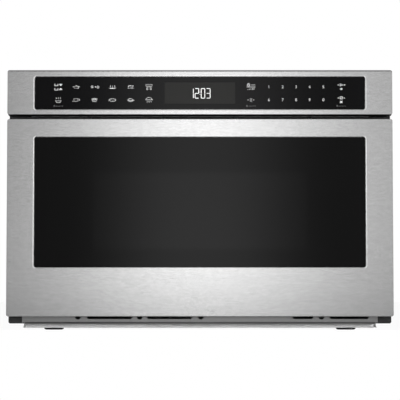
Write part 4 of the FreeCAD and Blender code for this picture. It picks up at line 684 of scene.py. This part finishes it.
class Pen:
    """Strokes in millimetres from a chosen middle, kept as one curve."""

    def __init__(self, name, width, scale=KEY_SCALE):
        self.curve = bpy.data.curves.new(name, "CURVE")
        self.curve.dimensions = "3D"
        self.curve.bevel_depth = width * MM / 2
        self.curve.bevel_resolution = 1
        self.curve.use_fill_caps = True
        self.scale = scale
        self.move(0.0, 0.0)

    def move(self, x, z):
        self.middle = (x, z)

    def line(self, *points, closed=False):
        spline = self.curve.splines.new("POLY")
        spline.points.add(len(points) - 1)
        for point, (x, z) in zip(spline.points, points):
            across = self.middle[0] + x * self.scale
            up = self.middle[1] + z * self.scale
            point.co = (across * MM, up * MM, 0.0, 1.0)
        spline.use_cyclic_u = closed

    def arc(self, x, z, wide, tall, start=0.0, end=360.0, steps=14):
        turns = [math.radians(start + (end - start) * step / steps) for step in range(steps + 1)]
        self.line(*[(x + wide * math.cos(turn), z + tall * math.sin(turn)) for turn in turns])

    def print_on(self, name, ink):
        return set_on_glass(self.curve, name, ink, thickness=RIBBON_FLATNESS)


marks = Pen("key_strokes", PLAIN_STROKE)
bold = Pen("bold_strokes", BOLD_STROKE)
faint = Pen("faint_strokes", FAINT_STROKE)
print("three pens ready")

# %% Draw the drawer key
COLUMNS = (-222.8, -194.5, -166.0, -137.7, -108.7, -80.1)
ROW_UP = 9.6


def draw(key, pen, column, row):
    pen.move(column, row)
    key(pen)


def drawer_key(pen):
    """Two trays, one with an arrow out and one with an arrow in."""
    for rise, way in ((4.2, -1.0), (-4.2, 1.0)):
        pen.line((-7.0, rise + 1.9), (-7.0, rise - 1.9), (-1.0, rise - 1.9), (-1.0, rise + 1.9))
        pen.line((2.0, rise - 1.6 * way), (4.6, rise + 1.8 * way), (7.2, rise - 1.6 * way))
        pen.line((4.6, rise + 1.8 * way), (4.6, rise - 2.0 * way))


draw(drawer_key, bold, COLUMNS[0], ROW_UP)
print("drawer key:", len(bold.curve.splines), "strokes")


# %% Draw the pot, frost and plate keys
def heat_waves(pen, xs, low, high):
    third = (high - low) / 3
    for x in xs:
        pen.line((x, low), (x + 0.9, low + third), (x - 0.3, low + 2 * third), (x + 0.6, high))


def pot_key(pen):
    pen.line((-4.4, 1.2), (-4.4, -2.4), (4.4, -2.4), (4.4, 1.2), closed=True)
    pen.line((-7.0, 0.3), (-4.4, 0.3))
    pen.line((4.4, 0.3), (7.0, 0.3))
    pen.line((-1.6, 2.6), (1.6, 2.6))


def frost_key(pen):
    """A snow star that turns into a drop."""
    for turn in (0.0, 60.0, 120.0):
        x = 3.0 * math.cos(math.radians(turn))
        z = 3.0 * math.sin(math.radians(turn))
        pen.line((-x - 4.6, -z), (x - 4.6, z))
    pen.line((0.4, 0.0), (3.2, 0.0))
    pen.line((2.0, 1.3), (3.4, 0.0), (2.0, -1.3))
    pen.arc(6.8, -0.7, 1.7, 1.9, 160.0, 380.0)
    pen.line((5.2, 0.0), (6.8, 2.8), (8.4, 0.0))


def plate_key(pen):
    pen.line((-7.2, -2.2), (7.2, -2.2))
    pen.line((-4.8, -3.2), (4.8, -3.2))
    heat_waves(pen, (-4.2, 0.0, 4.2), -0.9, 2.8)


for column, key in zip(COLUMNS[1:], (pot_key, frost_key, plate_key)):
    draw(key, marks, column, ROW_UP)
print("plain strokes:", len(marks.curve.splines))


# %% Draw the butter and melting keys
def butter_key(pen):
    pen.line((-6.4, -2.4), (6.4, -2.4))
    pen.line((-5.0, -2.0), (-5.0, 1.4), (3.6, 1.4), (3.6, -2.0))
    pen.line((-5.0, 1.4), (-3.2, 2.8), (5.4, 2.8), (3.6, 1.4))


def divider(pen, half):
    pen.line((-half, 0.0), (half, 0.0))


def melt_key(pen):
    """A block above a line, with two drops below it."""
    pen.line((-6.0, 1.8), (-6.0, 5.0), (6.0, 5.0), (6.0, 1.8), closed=True)
    divider(pen, 5.6)
    for x in (-3.4, 3.4):
        pen.arc(x, -4.0, 1.5, 1.5, 150.0, 390.0)
        pen.line((x - 1.3, -3.3), (x, -1.5), (x + 1.3, -3.3))


for column, key in zip(COLUMNS[4:], (butter_key, melt_key)):
    draw(key, marks, column, ROW_UP)
print("plain strokes:", len(marks.curve.splines))

# %% Draw the lower row of keys
ROW_DOWN = -11.0


def steam_key(pen):
    heat_waves(pen, (-4.4, -0.4, 3.6), 1.6, 5.2)
    pen.line((-6.4, -1.8), (6.4, -1.8))
    pen.line((-4.8, -1.8), (-3.4, -5.2), (3.4, -5.2), (4.8, -1.8))


def cup_key(pen):
    pen.line((-5.0, 2.4), (-4.2, -2.6), (2.2, -2.6), (3.0, 2.4), closed=True)
    pen.arc(3.8, 0.2, 2.4, 1.6, -80.0, 80.0, 8)
    pen.line((-7.6, -2.6), (-5.6, -2.6))


def puffed_key(pen):
    """A striped tub of puffed corn."""
    pen.line((-4.6, 0.4), (-3.2, -3.2), (3.2, -3.2), (4.6, 0.4))
    for x, z in ((-3.4, 1.4), (0.0, 2.2), (3.4, 1.4)):
        pen.arc(x, z, 1.7, 1.3, 0.0, 360.0, 10)
    pen.line((-1.2, 0.0), (-0.9, -3.2))
    pen.line((1.2, 0.0), (0.9, -3.2))


def tuber_key(pen):
    pen.arc(0.0, -0.2, 6.6, 2.7)
    for x, z in ((-3.0, 0.4), (0.2, -0.9), (3.0, 0.7)):
        pen.line((x, z), (x + 0.8, z + 0.2))


def leaf_key(pen):
    pen.arc(-0.6, -2.6, 6.0, 5.4, 20.0, 160.0, 10)
    pen.arc(-0.6, 1.2, 6.0, 4.4, 200.0, 340.0, 10)
    pen.line((-6.2, -0.8), (7.0, -0.8))


def dome_key(pen):
    """A dish cover over warm air."""
    pen.arc(0.0, 0.6, 6.0, 4.2, 0.0, 180.0, 12)
    pen.line((-7.4, 0.4), (7.4, 0.4))
    pen.line((-0.7, 5.4), (0.7, 5.4))
    heat_waves(pen, (-4.0, -0.2, 3.6), -5.0, -1.4)


for column, key in zip(COLUMNS, (steam_key, cup_key, puffed_key, tuber_key, leaf_key, dome_key)):
    draw(key, marks, column, ROW_DOWN)
print("plain strokes:", len(marks.curve.splines))

# %% Draw the timer keys
TIMER_COLUMN = 80.4


def clock_key(pen):
    """A clock face above a line, with rising power bars below it."""
    pen.arc(-4.6, 4.0, 2.6, 2.6)
    pen.line((-4.6, 5.6), (-4.6, 4.0), (-3.4, 3.4))
    pen.line((0.2, 4.0), (8.4, 4.0))
    divider(pen, 8.6)
    for x, tall in ((-6.0, 1.2), (-3.0, 2.0), (0.0, 2.8), (3.0, 3.6), (6.0, 4.4)):
        pen.line((x, -5.6), (x, -5.6 + tall))


def timer_key(pen):
    """An hourglass between two dashes."""
    pen.line((-2.2, 2.8), (2.2, 2.8), (-2.2, -2.8), (2.2, -2.8), closed=True)
    pen.line((-6.6, 0.0), (-4.0, 0.0))
    pen.line((4.0, 0.0), (6.6, 0.0))


draw(clock_key, marks, TIMER_COLUMN, ROW_UP)
draw(timer_key, marks, TIMER_COLUMN, ROW_DOWN)
print("plain strokes:", len(marks.curve.splines))

# %% Draw the start and stop keys
START_COLUMN = 222.6
NOTE_ROW = -20.6


def start_key(pen):
    pen.line((-2.0, 6.4), (-2.0, 1.6), (3.2, 4.0), closed=True)
    pen.line((-7.0, 4.0), (-4.4, 4.0))
    pen.line((5.0, 4.0), (7.6, 4.0))
    pen.line((-2.6, -4.0), (2.6, -4.0))
    pen.line((0.0, -6.0), (0.0, -2.0))


def stop_key(pen):
    pen.line((-2.2, 2.0), (-2.2, 6.2), (2.2, 6.2), (2.2, 2.0), closed=True)
    pen.line((-7.0, 4.0), (-4.6, 4.0))
    pen.line((4.6, 4.0), (7.0, 4.0))
    pen.line((-2.2, -6.0), (2.2, -2.0))
    pen.line((-2.2, -2.0), (2.2, -6.0))


def note(pen):
    """A tiny padlock and a broken rule: the second use of a held key."""
    pen.line((-9.0, -0.9), (-6.6, -0.9), (-6.6, 0.6), (-9.0, 0.6), closed=True)
    pen.arc(-7.8, 0.6, 0.8, 1.2, 0.0, 180.0, 6)
    for x in (-4.6, -1.6, 1.4, 4.4, 7.4):
        pen.line((x, 0.0), (x + 1.8, 0.0))


draw(start_key, bold, START_COLUMN, ROW_UP)
draw(stop_key, bold, START_COLUMN, ROW_DOWN)
for column in (COLUMNS[0], TIMER_COLUMN, START_COLUMN):
    draw(note, faint, column, NOTE_ROW)
print("bold strokes:", len(bold.curve.splines), "and faint ones:", len(faint.curve.splines))

# %% [markdown]
# ## Ink of the marks
#
# On the real keypad the marks are pale print, lit a little through the glass. Plain paint would look
# dim in this room, and a lamp behind each mark would be slow to render. So the ink gives some light
# of its own, most of it in the bold marks.

# %% Print the marks on the glass
INK_GRAIN = 0.9


def lit_ink(name, shade, glow):
    finish = Finish(name)
    grain = finish.noise(1200.0, 1.0)
    colour = finish.blend(grey(shade * INK_GRAIN), grey(shade), grain)
    return finish.set({
        "Base Color": colour,
        "Roughness": 0.5 + grain * 0.1,
        "Emission Color": colour,
        "Emission Strength": glow,
    })


key_ink = lit_ink("key_ink", 0.55, 0.45)
marks.print_on("key_marks", key_ink)
bold.print_on("bold_key_marks", lit_ink("bold_key_ink", 0.70, 0.62))
faint.print_on("faint_key_marks", lit_ink("faint_key_ink", 0.16, 0.25))
print("three inks printed")

# %% [markdown]
# ## Digits on the number keys and the clock
#
# The number keys carry plain printed digits, so Blender's own font serves, made a mesh before it is
# set on the glass. The clock has seven lit segments to a digit, which no font of Blender's shows, so
# a thicker pen draws each segment as one stroke on a grid of two by four.

# %% Set the number keys
NUMBER_COLUMNS = (108.7, 130.3, 151.5, 172.7, 194.3)
DIGIT_SIZE = 6.3 * MM
DIGIT_THICK = 0.03 * MM


def printed_digit(text, x, z):
    curve = bpy.data.curves.new("digit_" + text, "FONT")
    curve.body = text
    curve.size = DIGIT_SIZE
    curve.align_x = "CENTER"
    curve.align_y = "CENTER"
    curve.extrude = DIGIT_THICK
    return set_on_glass(curve, "number_key_" + text, key_ink, x, z)


for row, digits in ((ROW_UP, "12345"), (ROW_DOWN, "67890")):
    for column, digit in zip(NUMBER_COLUMNS, digits):
        printed_digit(digit, column, row)
print("number keys:", 2 * len(NUMBER_COLUMNS))

# %% Light the clock
SEGMENTS = {
    "a": ((-1, 2), (1, 2)), "b": ((1, 2), (1, 0)), "c": ((1, 0), (1, -2)), "d": ((-1, -2), (1, -2)),
    "e": ((-1, 0), (-1, -2)), "f": ((-1, 2), (-1, 0)), "g": ((-1, 0), (1, 0)),
}
LIT = {"0": "abcdef", "1": "bc", "2": "abged", "3": "abgcd"}
CLOCK_DIGITS = (("1", -13.1), ("2", -4.7), ("0", 4.9), ("3", 13.3))
CLOCK_RISE = -0.5
CLOCK_STROKE = 1.15
HALF_DIGIT = 2.85
QUARTER_RISE = 3.8
SHORTEN = 0.25
COLON_X = 0.1
COLON_RISES = (1.9, -1.9)
COLON_HALF = 0.3

clock = Pen("clock_segments", CLOCK_STROKE, 1.0)
for digit, middle in CLOCK_DIGITS:
    clock.move(middle, CLOCK_RISE)
    for segment in LIT[digit]:
        start, end = [Vector((x * HALF_DIGIT, z * QUARTER_RISE)) for x, z in SEGMENTS[segment]]
        along = (end - start).normalized() * SHORTEN
        clock.line(tuple(start + along), tuple(end - along))
clock.move(COLON_X, CLOCK_RISE)
for rise in COLON_RISES:
    clock.line((0.0, rise - COLON_HALF), (0.0, rise + COLON_HALF))
clock.print_on("clock_digits", lit_ink("clock_glow", 0.70, 0.62))
print("clock:", len(clock.curve.splines), "strokes")

# %% [markdown]
# ## Bars in the gaps
#
# Three long bars show in the gaps that the camera looks into. The bulkhead sheet has a pressed bead,
# seen as one paler line above the drawer. The two dark bars are painted shade: a black strip under
# the fascia darkens the gap there, and a dark bar below the vent panel stands in for the shadow
# between the panel and the base pan. All are straight, so a profile need not be swept: a cube is
# scaled to the bar's box, and its edges are rounded.

# %% Lay the bars
BAR_STEPS = 3
BEAD_HALF = 268.0 * MM
BEAD_HEIGHT = 1.5 * MM
BEAD_RISE = 1.0 * MM
BEAD_ROUND = 0.55 * MM
SHADE_STRIP_SET_BACK = 1.2 * MM
SHADE_STRIP_DROP = 0.8 * MM
SHADE_STRIP_ROUND = 0.3 * MM
SHADE_BAR_INSET = 4.0 * MM
SHADE_BAR_LAP = 0.9 * MM
SHADE_BAR_HEIGHT = 3.6 * MM
SHADE_BAR_RISE = 1.4 * MM
SHADE_BAR_BACK = 1.2 * MM
SHADE_BAR_ROUND = 1.2 * MM
SATIN_STRETCH = (120.0, 40.0, 420.0)


def long_bar(name, low, high, rounding, material):
    bm = bmesh.new()
    bmesh.ops.create_cube(bm, size=1.0)
    bmesh.ops.scale(bm, vec=high - low, verts=bm.verts)
    bmesh.ops.translate(bm, vec=(low + high) / 2, verts=bm.verts)
    round_off(bm, bm.edges[:], rounding, BAR_STEPS)
    return hand_over(bm, name, "chassis", material)


bulkhead_low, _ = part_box("front_bulkhead")
vent_low, vent_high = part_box("vent_panel")
bead = long_bar(
    "gap_bead",
    Vector((-BEAD_HALF, bulkhead_low.y - BEAD_RISE, fascia_low.z - BEAD_HEIGHT / 2)),
    Vector((BEAD_HALF, bulkhead_low.y + BEAD_RISE, fascia_low.z + BEAD_HEIGHT / 2)),
    BEAD_ROUND, galvanised)
# Painted shade: a black rubber strip under the fascia stands in for the shadow in the gap there.
fascia_shade_strip = long_bar(
    "fascia_painted_shade_strip",
    Vector((fascia_low.x + SHADE_STRIP_SET_BACK, fascia_low.y + SHADE_STRIP_SET_BACK, fascia_low.z - SHADE_STRIP_DROP)),
    Vector((fascia_high.x - SHADE_STRIP_SET_BACK, fascia_high.y, fascia_low.z + SHADE_STRIP_DROP)),
    SHADE_STRIP_ROUND, rubber)
# Painted shade: a dark plated bar below the vent panel stands in for the shadow between the panel and
# the base pan.
vent_shade_bar = long_bar(
    "vent_painted_shade_bar",
    Vector((vent_low.x + SHADE_BAR_INSET, vent_low.y - SHADE_BAR_RISE, vent_low.z + SHADE_BAR_LAP - SHADE_BAR_HEIGHT)),
    Vector((vent_high.x - SHADE_BAR_INSET, vent_low.y + SHADE_BAR_BACK, vent_low.z + SHADE_BAR_LAP)),
    SHADE_BAR_ROUND, plated("painted_shade_under_vent", grey(0.22), grey(0.27), 0.30, SATIN_STRETCH))
print("bars:", [len(bar.data.polygons) for bar in (bead, fascia_shade_strip, vent_shade_bar)], "faces")

# %% [markdown]
# ## Rubber feet
#
# Each foot is a moulded rubber disc with a rounded tread and a chamfered top. A cylinder with two
# bevels would do, but half of the outline is shorter to write: the tread is a quarter of an ellipse,
# and a spin round the foot's own axis makes the rest.

# %% Spin the feet
FOOT_RADIUS = 16.0 * MM
FOOT_STEPS = 40
TREAD_WIDTH = 3.8 * MM
TREAD_HEIGHT = 3.2 * MM
TREAD_STEPS = 6
TOP_CHAMFER = 1.6 * MM


def spun_feet():
    low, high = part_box("rubber_feet")
    height = high.z - low.z
    turns = [math.radians(90.0 * step / TREAD_STEPS) for step in range(TREAD_STEPS + 1)]
    tread = [(FOOT_RADIUS - TREAD_WIDTH * (1.0 - math.sin(turn)), TREAD_HEIGHT * (1.0 - math.cos(turn)))
             for turn in turns]
    outline = [(0.0, 0.0), *tread, (FOOT_RADIUS, height - TOP_CHAMFER),
               (FOOT_RADIUS - TOP_CHAMFER, height), (0.0, height)]
    bm = bmesh.new()
    for x in (low.x + FOOT_RADIUS, high.x - FOOT_RADIUS):
        for y in (low.y + FOOT_RADIUS, high.y - FOOT_RADIUS):
            verts = [bm.verts.new((x + out, y, low.z + up)) for out, up in outline]
            edges = [bm.edges.new(pair) for pair in zip(verts, verts[1:])]
            bmesh.ops.spin(bm, geom=verts + edges, cent=(x, y, 0.0), axis=(0.0, 0.0, 1.0),
                           angle=2.0 * math.pi, steps=FOOT_STEPS, use_merge=True)
    bmesh.ops.remove_doubles(bm, verts=bm.verts, dist=TOUCH)
    bmesh.ops.recalc_face_normals(bm, faces=bm.faces)
    piece = hand_over(bm, "moulded_feet", "chassis", rubber, sharp=50.0)
    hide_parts("rubber_feet")
    return piece


feet = spun_feet()
print("feet:", len(feet.data.polygons), "faces")

# %% [markdown]
# ## Softened sheet edges
#
# A folded or moulded edge is never razor sharp, and a razor edge never catches the light. These
# pieces have the right outline in the CAD already, so they are not modelled again: a merged copy of
# the node's triangles takes a small live bevel, with the width given for each piece in millimetres.
# The vent panel and the base pan also get finishes of their own.

# %% Soften the visible CAD pieces
SOFT_WIDTHS = {
    "vent_panel": 0.25, "base_pan": 0.3, "front_bulkhead": 0.2, "left_mount_flange": 0.35,
    "right_mount_flange": 0.35, "left_side_panel": 0.3, "right_side_panel": 0.3, "top_cover": 0.3,
    "rear_panel": 0.25, "rear_spacers": 0.8, "cord_gland": 0.5, "case_screws": 0.3,
    "door_back_plate": 0.3, "choke_cover": 0.8, "drawer_tub": 0.7,
    "tub_floor_plate": 0.8, "drawer_rack": 0.2, "inner_rails": 0.25, "middle_rails": 0.25,
    "outer_rails": 0.25, "latch_hooks": 0.4, "cavity_liner": 0.25, "stirrer_cover": 0.4,
}
MERGE = 0.001 * MM
FLAT_ANGLE = 0.5
BEVEL_ANGLE = 40.0
body_of = {node: body for body, members in frame["record"]["behaviour"]["bodies"].items()
           for node in members}
own_finish = {
    "vent_panel": plated("grey_satin_vent", grey(0.36), grey(0.45), 0.26, SATIN_STRETCH),
    "base_pan": painted("pale_zinc_coat", grey(0.56), grey(0.67), 0.46),
}


def softened_copy(node, width):
    bm = bmesh.new()
    bm.from_mesh(nodes[node].data)
    bmesh.ops.remove_doubles(bm, verts=bm.verts, dist=MERGE)
    bmesh.ops.dissolve_limit(bm, angle_limit=math.radians(FLAT_ANGLE), verts=bm.verts, edges=bm.edges)
    slot = slot_of[node]
    material = own_finish.get(node, finishes[slot])
    piece = hand_over(bm, node + "_soft", body_of[node], material, sharp=30.0)
    bevel = piece.modifiers.new("soft edges", "BEVEL")
    bevel.width = width * MM
    bevel.segments = 2
    bevel.limit_method = "ANGLE"
    bevel.angle_limit = math.radians(BEVEL_ANGLE)
    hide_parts(node)


for node, width in SOFT_WIDTHS.items():
    softened_copy(node, width)
print("softened", len(SOFT_WIDTHS), "pieces")

# %% [markdown]
# ## Screws of the casing
#
# Sheet metal casings are held by self-tapping screws with a hexagon on a wide washer. Only the heads
# show, so threads are left out: a flat cone is the washer, a six-sided one the head, and the head's
# top face is inset and sunk. Low heads keep the casing within its cut-out.

# %% Define a screw
WASHER_RADIUS = 4.6 * MM
WASHER_TOP = 4.14 * MM
WASHER_HEIGHT = 0.5 * MM
HEXAGON_RADIUS = 3.3 * MM
HEXAGON_TOP = 3.135 * MM
HEXAGON_HEIGHT = 0.9 * MM
HEAD_RIM = 1.155 * MM
HEAD_SINK = 0.35 * MM


def screw(bm, place, outward):
    """A washer and a sunk hexagon that stand on a panel."""
    turn = Vector((0.0, 0.0, 1.0)).rotation_difference(outward).to_matrix().to_4x4()
    seat = Matrix.Translation(place) @ turn
    bmesh.ops.create_cone(bm, cap_ends=True, segments=24, radius1=WASHER_RADIUS, radius2=WASHER_TOP,
                          depth=WASHER_HEIGHT,
                          matrix=seat @ Matrix.Translation((0.0, 0.0, WASHER_HEIGHT / 2)))
    rise = WASHER_HEIGHT + HEXAGON_HEIGHT / 2
    head = bmesh.ops.create_cone(bm, cap_ends=True, segments=6, radius1=HEXAGON_RADIUS,
                                 radius2=HEXAGON_TOP, depth=HEXAGON_HEIGHT,
                                 matrix=seat @ Matrix.Translation((0.0, 0.0, rise)))["verts"]
    faces = {face for vert in head for face in vert.link_faces}
    top = max(faces, key=lambda face: face.calc_center_median().dot(outward))
    bmesh.ops.inset_region(bm, faces=[top], thickness=HEAD_RIM, depth=-HEAD_SINK)


print("screw heads stand", round((WASHER_HEIGHT + HEXAGON_HEIGHT) / MM, 2), "mm proud")

# %% Drive the screws
PRESSING = 1.0 * MM
EDGE_MARGIN = 8.0 * MM
BACK_MARGIN = 24.0 * MM
SIDE_RISES = (0.6, 0.25)
TOP_SHARES = (0.3, 0.85)
REAR_SHARES = ((0.35, 0.97), (0.35, 0.06), (0.97, 0.35), (0.97, 0.65))


def casing_screws():
    bm = bmesh.new()
    panel_low, panel_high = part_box("right_side_panel")
    cover_low, cover_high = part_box("top_cover")
    _, rear_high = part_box("rear_panel")
    side = panel_high.x - PRESSING
    high = panel_high.z - EDGE_MARGIN
    front = panel_low.y + EDGE_MARGIN
    back = panel_high.y - BACK_MARGIN
    side_places = [(y, high) for y in (front, (front + back) / 2, back)]
    side_places += [(front, high * rise) for rise in SIDE_RISES]
    for way in (-1.0, 1.0):
        for y, z in side_places:
            screw(bm, Vector((way * side, y, z)), Vector((way, 0.0, 0.0)))
        for x in TOP_SHARES:
            screw(bm, Vector((way * x * side, cover_low.y + EDGE_MARGIN, cover_high.z - PRESSING)),
                  Vector((0.0, 0.0, 1.0)))
        for x, z in REAR_SHARES:
            screw(bm, Vector((way * x * side, rear_high.y, z * rear_high.z)), Vector((0.0, 1.0, 0.0)))
    bmesh.ops.recalc_face_normals(bm, faces=bm.faces)
    return hand_over(bm, "casing_screws", "chassis", finishes["zinc_steel"], sharp=25.0)


screws = casing_screws()
print("screws:", len(screws.data.polygons), "faces")

# %% [markdown]
# ## Room and floor
#
# The product was photographed on white, yet its glass and steel show a dim room with one soft glow.
# A bright lamp behind the camera could make that glow, but its edge would show in the glass. So the
# sides of the room give the light themselves. To the camera they are plain white. To all other rays
# the wall is grey and glows in its middle, and a card on the floor glows more as it lies further
# from the front. The floor is white for the camera and for reflections, and still takes a shadow.

# %% Define the surfaces of the room
FLOOR_GLOW = 0.95
GLOW_BASE = 0.3
CARD_START = -1.0


def seen_by(owner, *rays):
    """1 for the named kinds of ray, 0 for all others."""
    kinds = [owner.add("ShaderNodeLightPath", {}, {}, "Is " + ray + " Ray") for ray in rays]
    return sum(kinds[1:], kinds[0])


def white_floor():
    finish = Finish("white_floor")
    finish.set({"Base Color": grey(0.35), "Roughness": 0.9})
    glow = finish.add("ShaderNodeEmission", {}, {"Color": grey(1.0), "Strength": 1.0})
    return finish.show(finish.add("ShaderNodeMixShader", {}, {
        0: seen_by(finish, "Camera", "Glossy", "Transmission") * FLOOR_GLOW,
        1: Channel(finish, finish.shader.outputs[0]), 2: glow}))


def room_side(name, edge, middle=0.0, reach=1.0, height=1.0, slope=0.0, far=0.0):
    """White for the camera. For other rays grey, with a glow in the middle and a slope in X."""
    finish = Finish(name)
    x, y, z = finish.axes()
    glow = finish.between(abs(x), reach, 0.0, "SMOOTHERSTEP") * middle
    glow = glow * finish.between(z, height, GLOW_BASE, "SMOOTHSTEP")
    if far:
        glow = glow * finish.between(y, CARD_START, far, "SMOOTHSTEP")
    camera_ray = seen_by(finish, "Camera")
    strength = (glow + x * slope + edge) * (1 - camera_ray) + camera_ray
    return finish.show(finish.add("ShaderNodeEmission", {}, {"Color": grey(1.0), "Strength": strength}))


print("floor glow", FLOOR_GLOW)

# %% Build the stage
WALL_Y = -9.0
BACK_Y = 7.0
SIDE_X = 7.0
CEILING = 6.5
FLOOR_HALF = 12.0
CARD_HALF = 3.0
CARD_DEPTHS = (-8.9, -0.30)
CARD_RISE = 0.001


def stage_plane(name, corners, material):
    bm = bmesh.new()
    bm.faces.new([bm.verts.new(corner) for corner in corners])
    mesh = bpy.data.meshes.new(name)
    bm.to_mesh(mesh)
    bm.free()
    mesh.materials.append(material)
    plane = bpy.data.objects.new(name, mesh)
    bpy.context.scene.collection.objects.link(plane)


def level_plane(name, half_x, depths, z, material):
    near, far = depths
    corners = [(-half_x, near, z), (half_x, near, z), (half_x, far, z), (-half_x, far, z)]
    stage_plane(name, corners, material)


def upright_plane(name, start, end, material):
    stage_plane(name, [(*start, 0.0), (*end, 0.0), (*end, CEILING), (*start, CEILING)], material)


level_plane("floor", FLOOR_HALF, (WALL_Y, FLOOR_HALF), 0.0, white_floor())
upright_plane("wall", (-SIDE_X, WALL_Y), (SIDE_X, WALL_Y),
              room_side("studio_wall", 0.375, middle=2.12, reach=1.0, height=4.8, slope=0.05))
level_plane("floor_card", CARD_HALF, CARD_DEPTHS, CARD_RISE,
            room_side("studio_card", 0.25, middle=1.9, reach=1.1, far=-5.0))
level_plane("ceiling", SIDE_X, (WALL_Y, BACK_Y), CEILING, room_side("studio_ceiling", 0.32))
for side in (-1, 1):
    upright_plane("side" + str(side + 1), (side * SIDE_X, WALL_Y), (side * SIDE_X, BACK_Y),
                  room_side("studio_side", 0.45))
print("stage: floor, wall, card, ceiling and two sides")

# %% [markdown]
# ## World and lamps
#
# Behind the part there is no wall, so the camera looks past it into a white world. At full strength
# that world would wash out the shadow on the floor, so matt surfaces get less than half of it. Three
# softboxes light the matt pieces, such as the feet and the base pan. They stay out of reflections,
# because steel and glass should mirror the room alone.

# %% Light the world
SKY = 1.0
SKY_FOR_MATT = 0.45

world = bpy.data.worlds.new("studio")
bpy.context.scene.world = world
sky = Nodes(world, "Background")
sky.set({"Color": grey(1.0), "Strength": SKY - seen_by(sky, "Diffuse") * (SKY - SKY_FOR_MATT)})
print("world: white, and", SKY_FOR_MATT, "of that on matt surfaces")


# %% Hang the lamps
def softbox(name, place, target, size, power):
    lamp = bpy.data.lights.new(name, "AREA")
    lamp.shape = "RECTANGLE"
    lamp.size, lamp.size_y = size
    lamp.energy = power
    holder = bpy.data.objects.new(name, lamp)
    holder.location = place
    holder.visible_glossy = False
    holder.rotation_euler = (Vector(target) - Vector(place)).to_track_quat("-Z", "Y").to_euler()
    bpy.context.scene.collection.objects.link(holder)


softbox("top_box", (0.0, -1.0, 3.0), target=(0.0, 0.0, 0.3), size=(2.0, 2.0), power=40.0)
for name, x in (("left_fill", -1.8), ("right_fill", 1.8)):
    softbox(name, (x, -3.2, 0.42), target=(0.0, -0.3, 0.1), size=(1.8, 0.7), power=55.0)
print("lamps:", len(bpy.data.lights))

# %% [markdown]
# ## Camera
#
# The photograph was taken from far away, nearly level with the feet and tilted up a little. A short
# lens close by could frame the part too, but would show it in strong perspective. A long lens and a
# low place keep the front a rectangle and show the upper side of the gap.

# %% Place the camera
CAMERA_PLACE = (0.0002, -2.916, 0.054)
CAMERA_TILT = 0.0578
FOCAL_LENGTH = 149.19

lens = bpy.data.cameras.new("photograph")
lens.lens = FOCAL_LENGTH
lens.sensor_width = 36.0
lens.clip_end = 100.0
camera = bpy.data.objects.new("photograph", lens)
camera.location = CAMERA_PLACE
camera.rotation_euler = (math.radians(90.0) + CAMERA_TILT, 0.0, 0.0)
bpy.context.scene.collection.objects.link(camera)
bpy.context.scene.camera = camera
bpy.context.scene.view_settings.view_transform = "Standard"
print("camera at", CAMERA_PLACE)
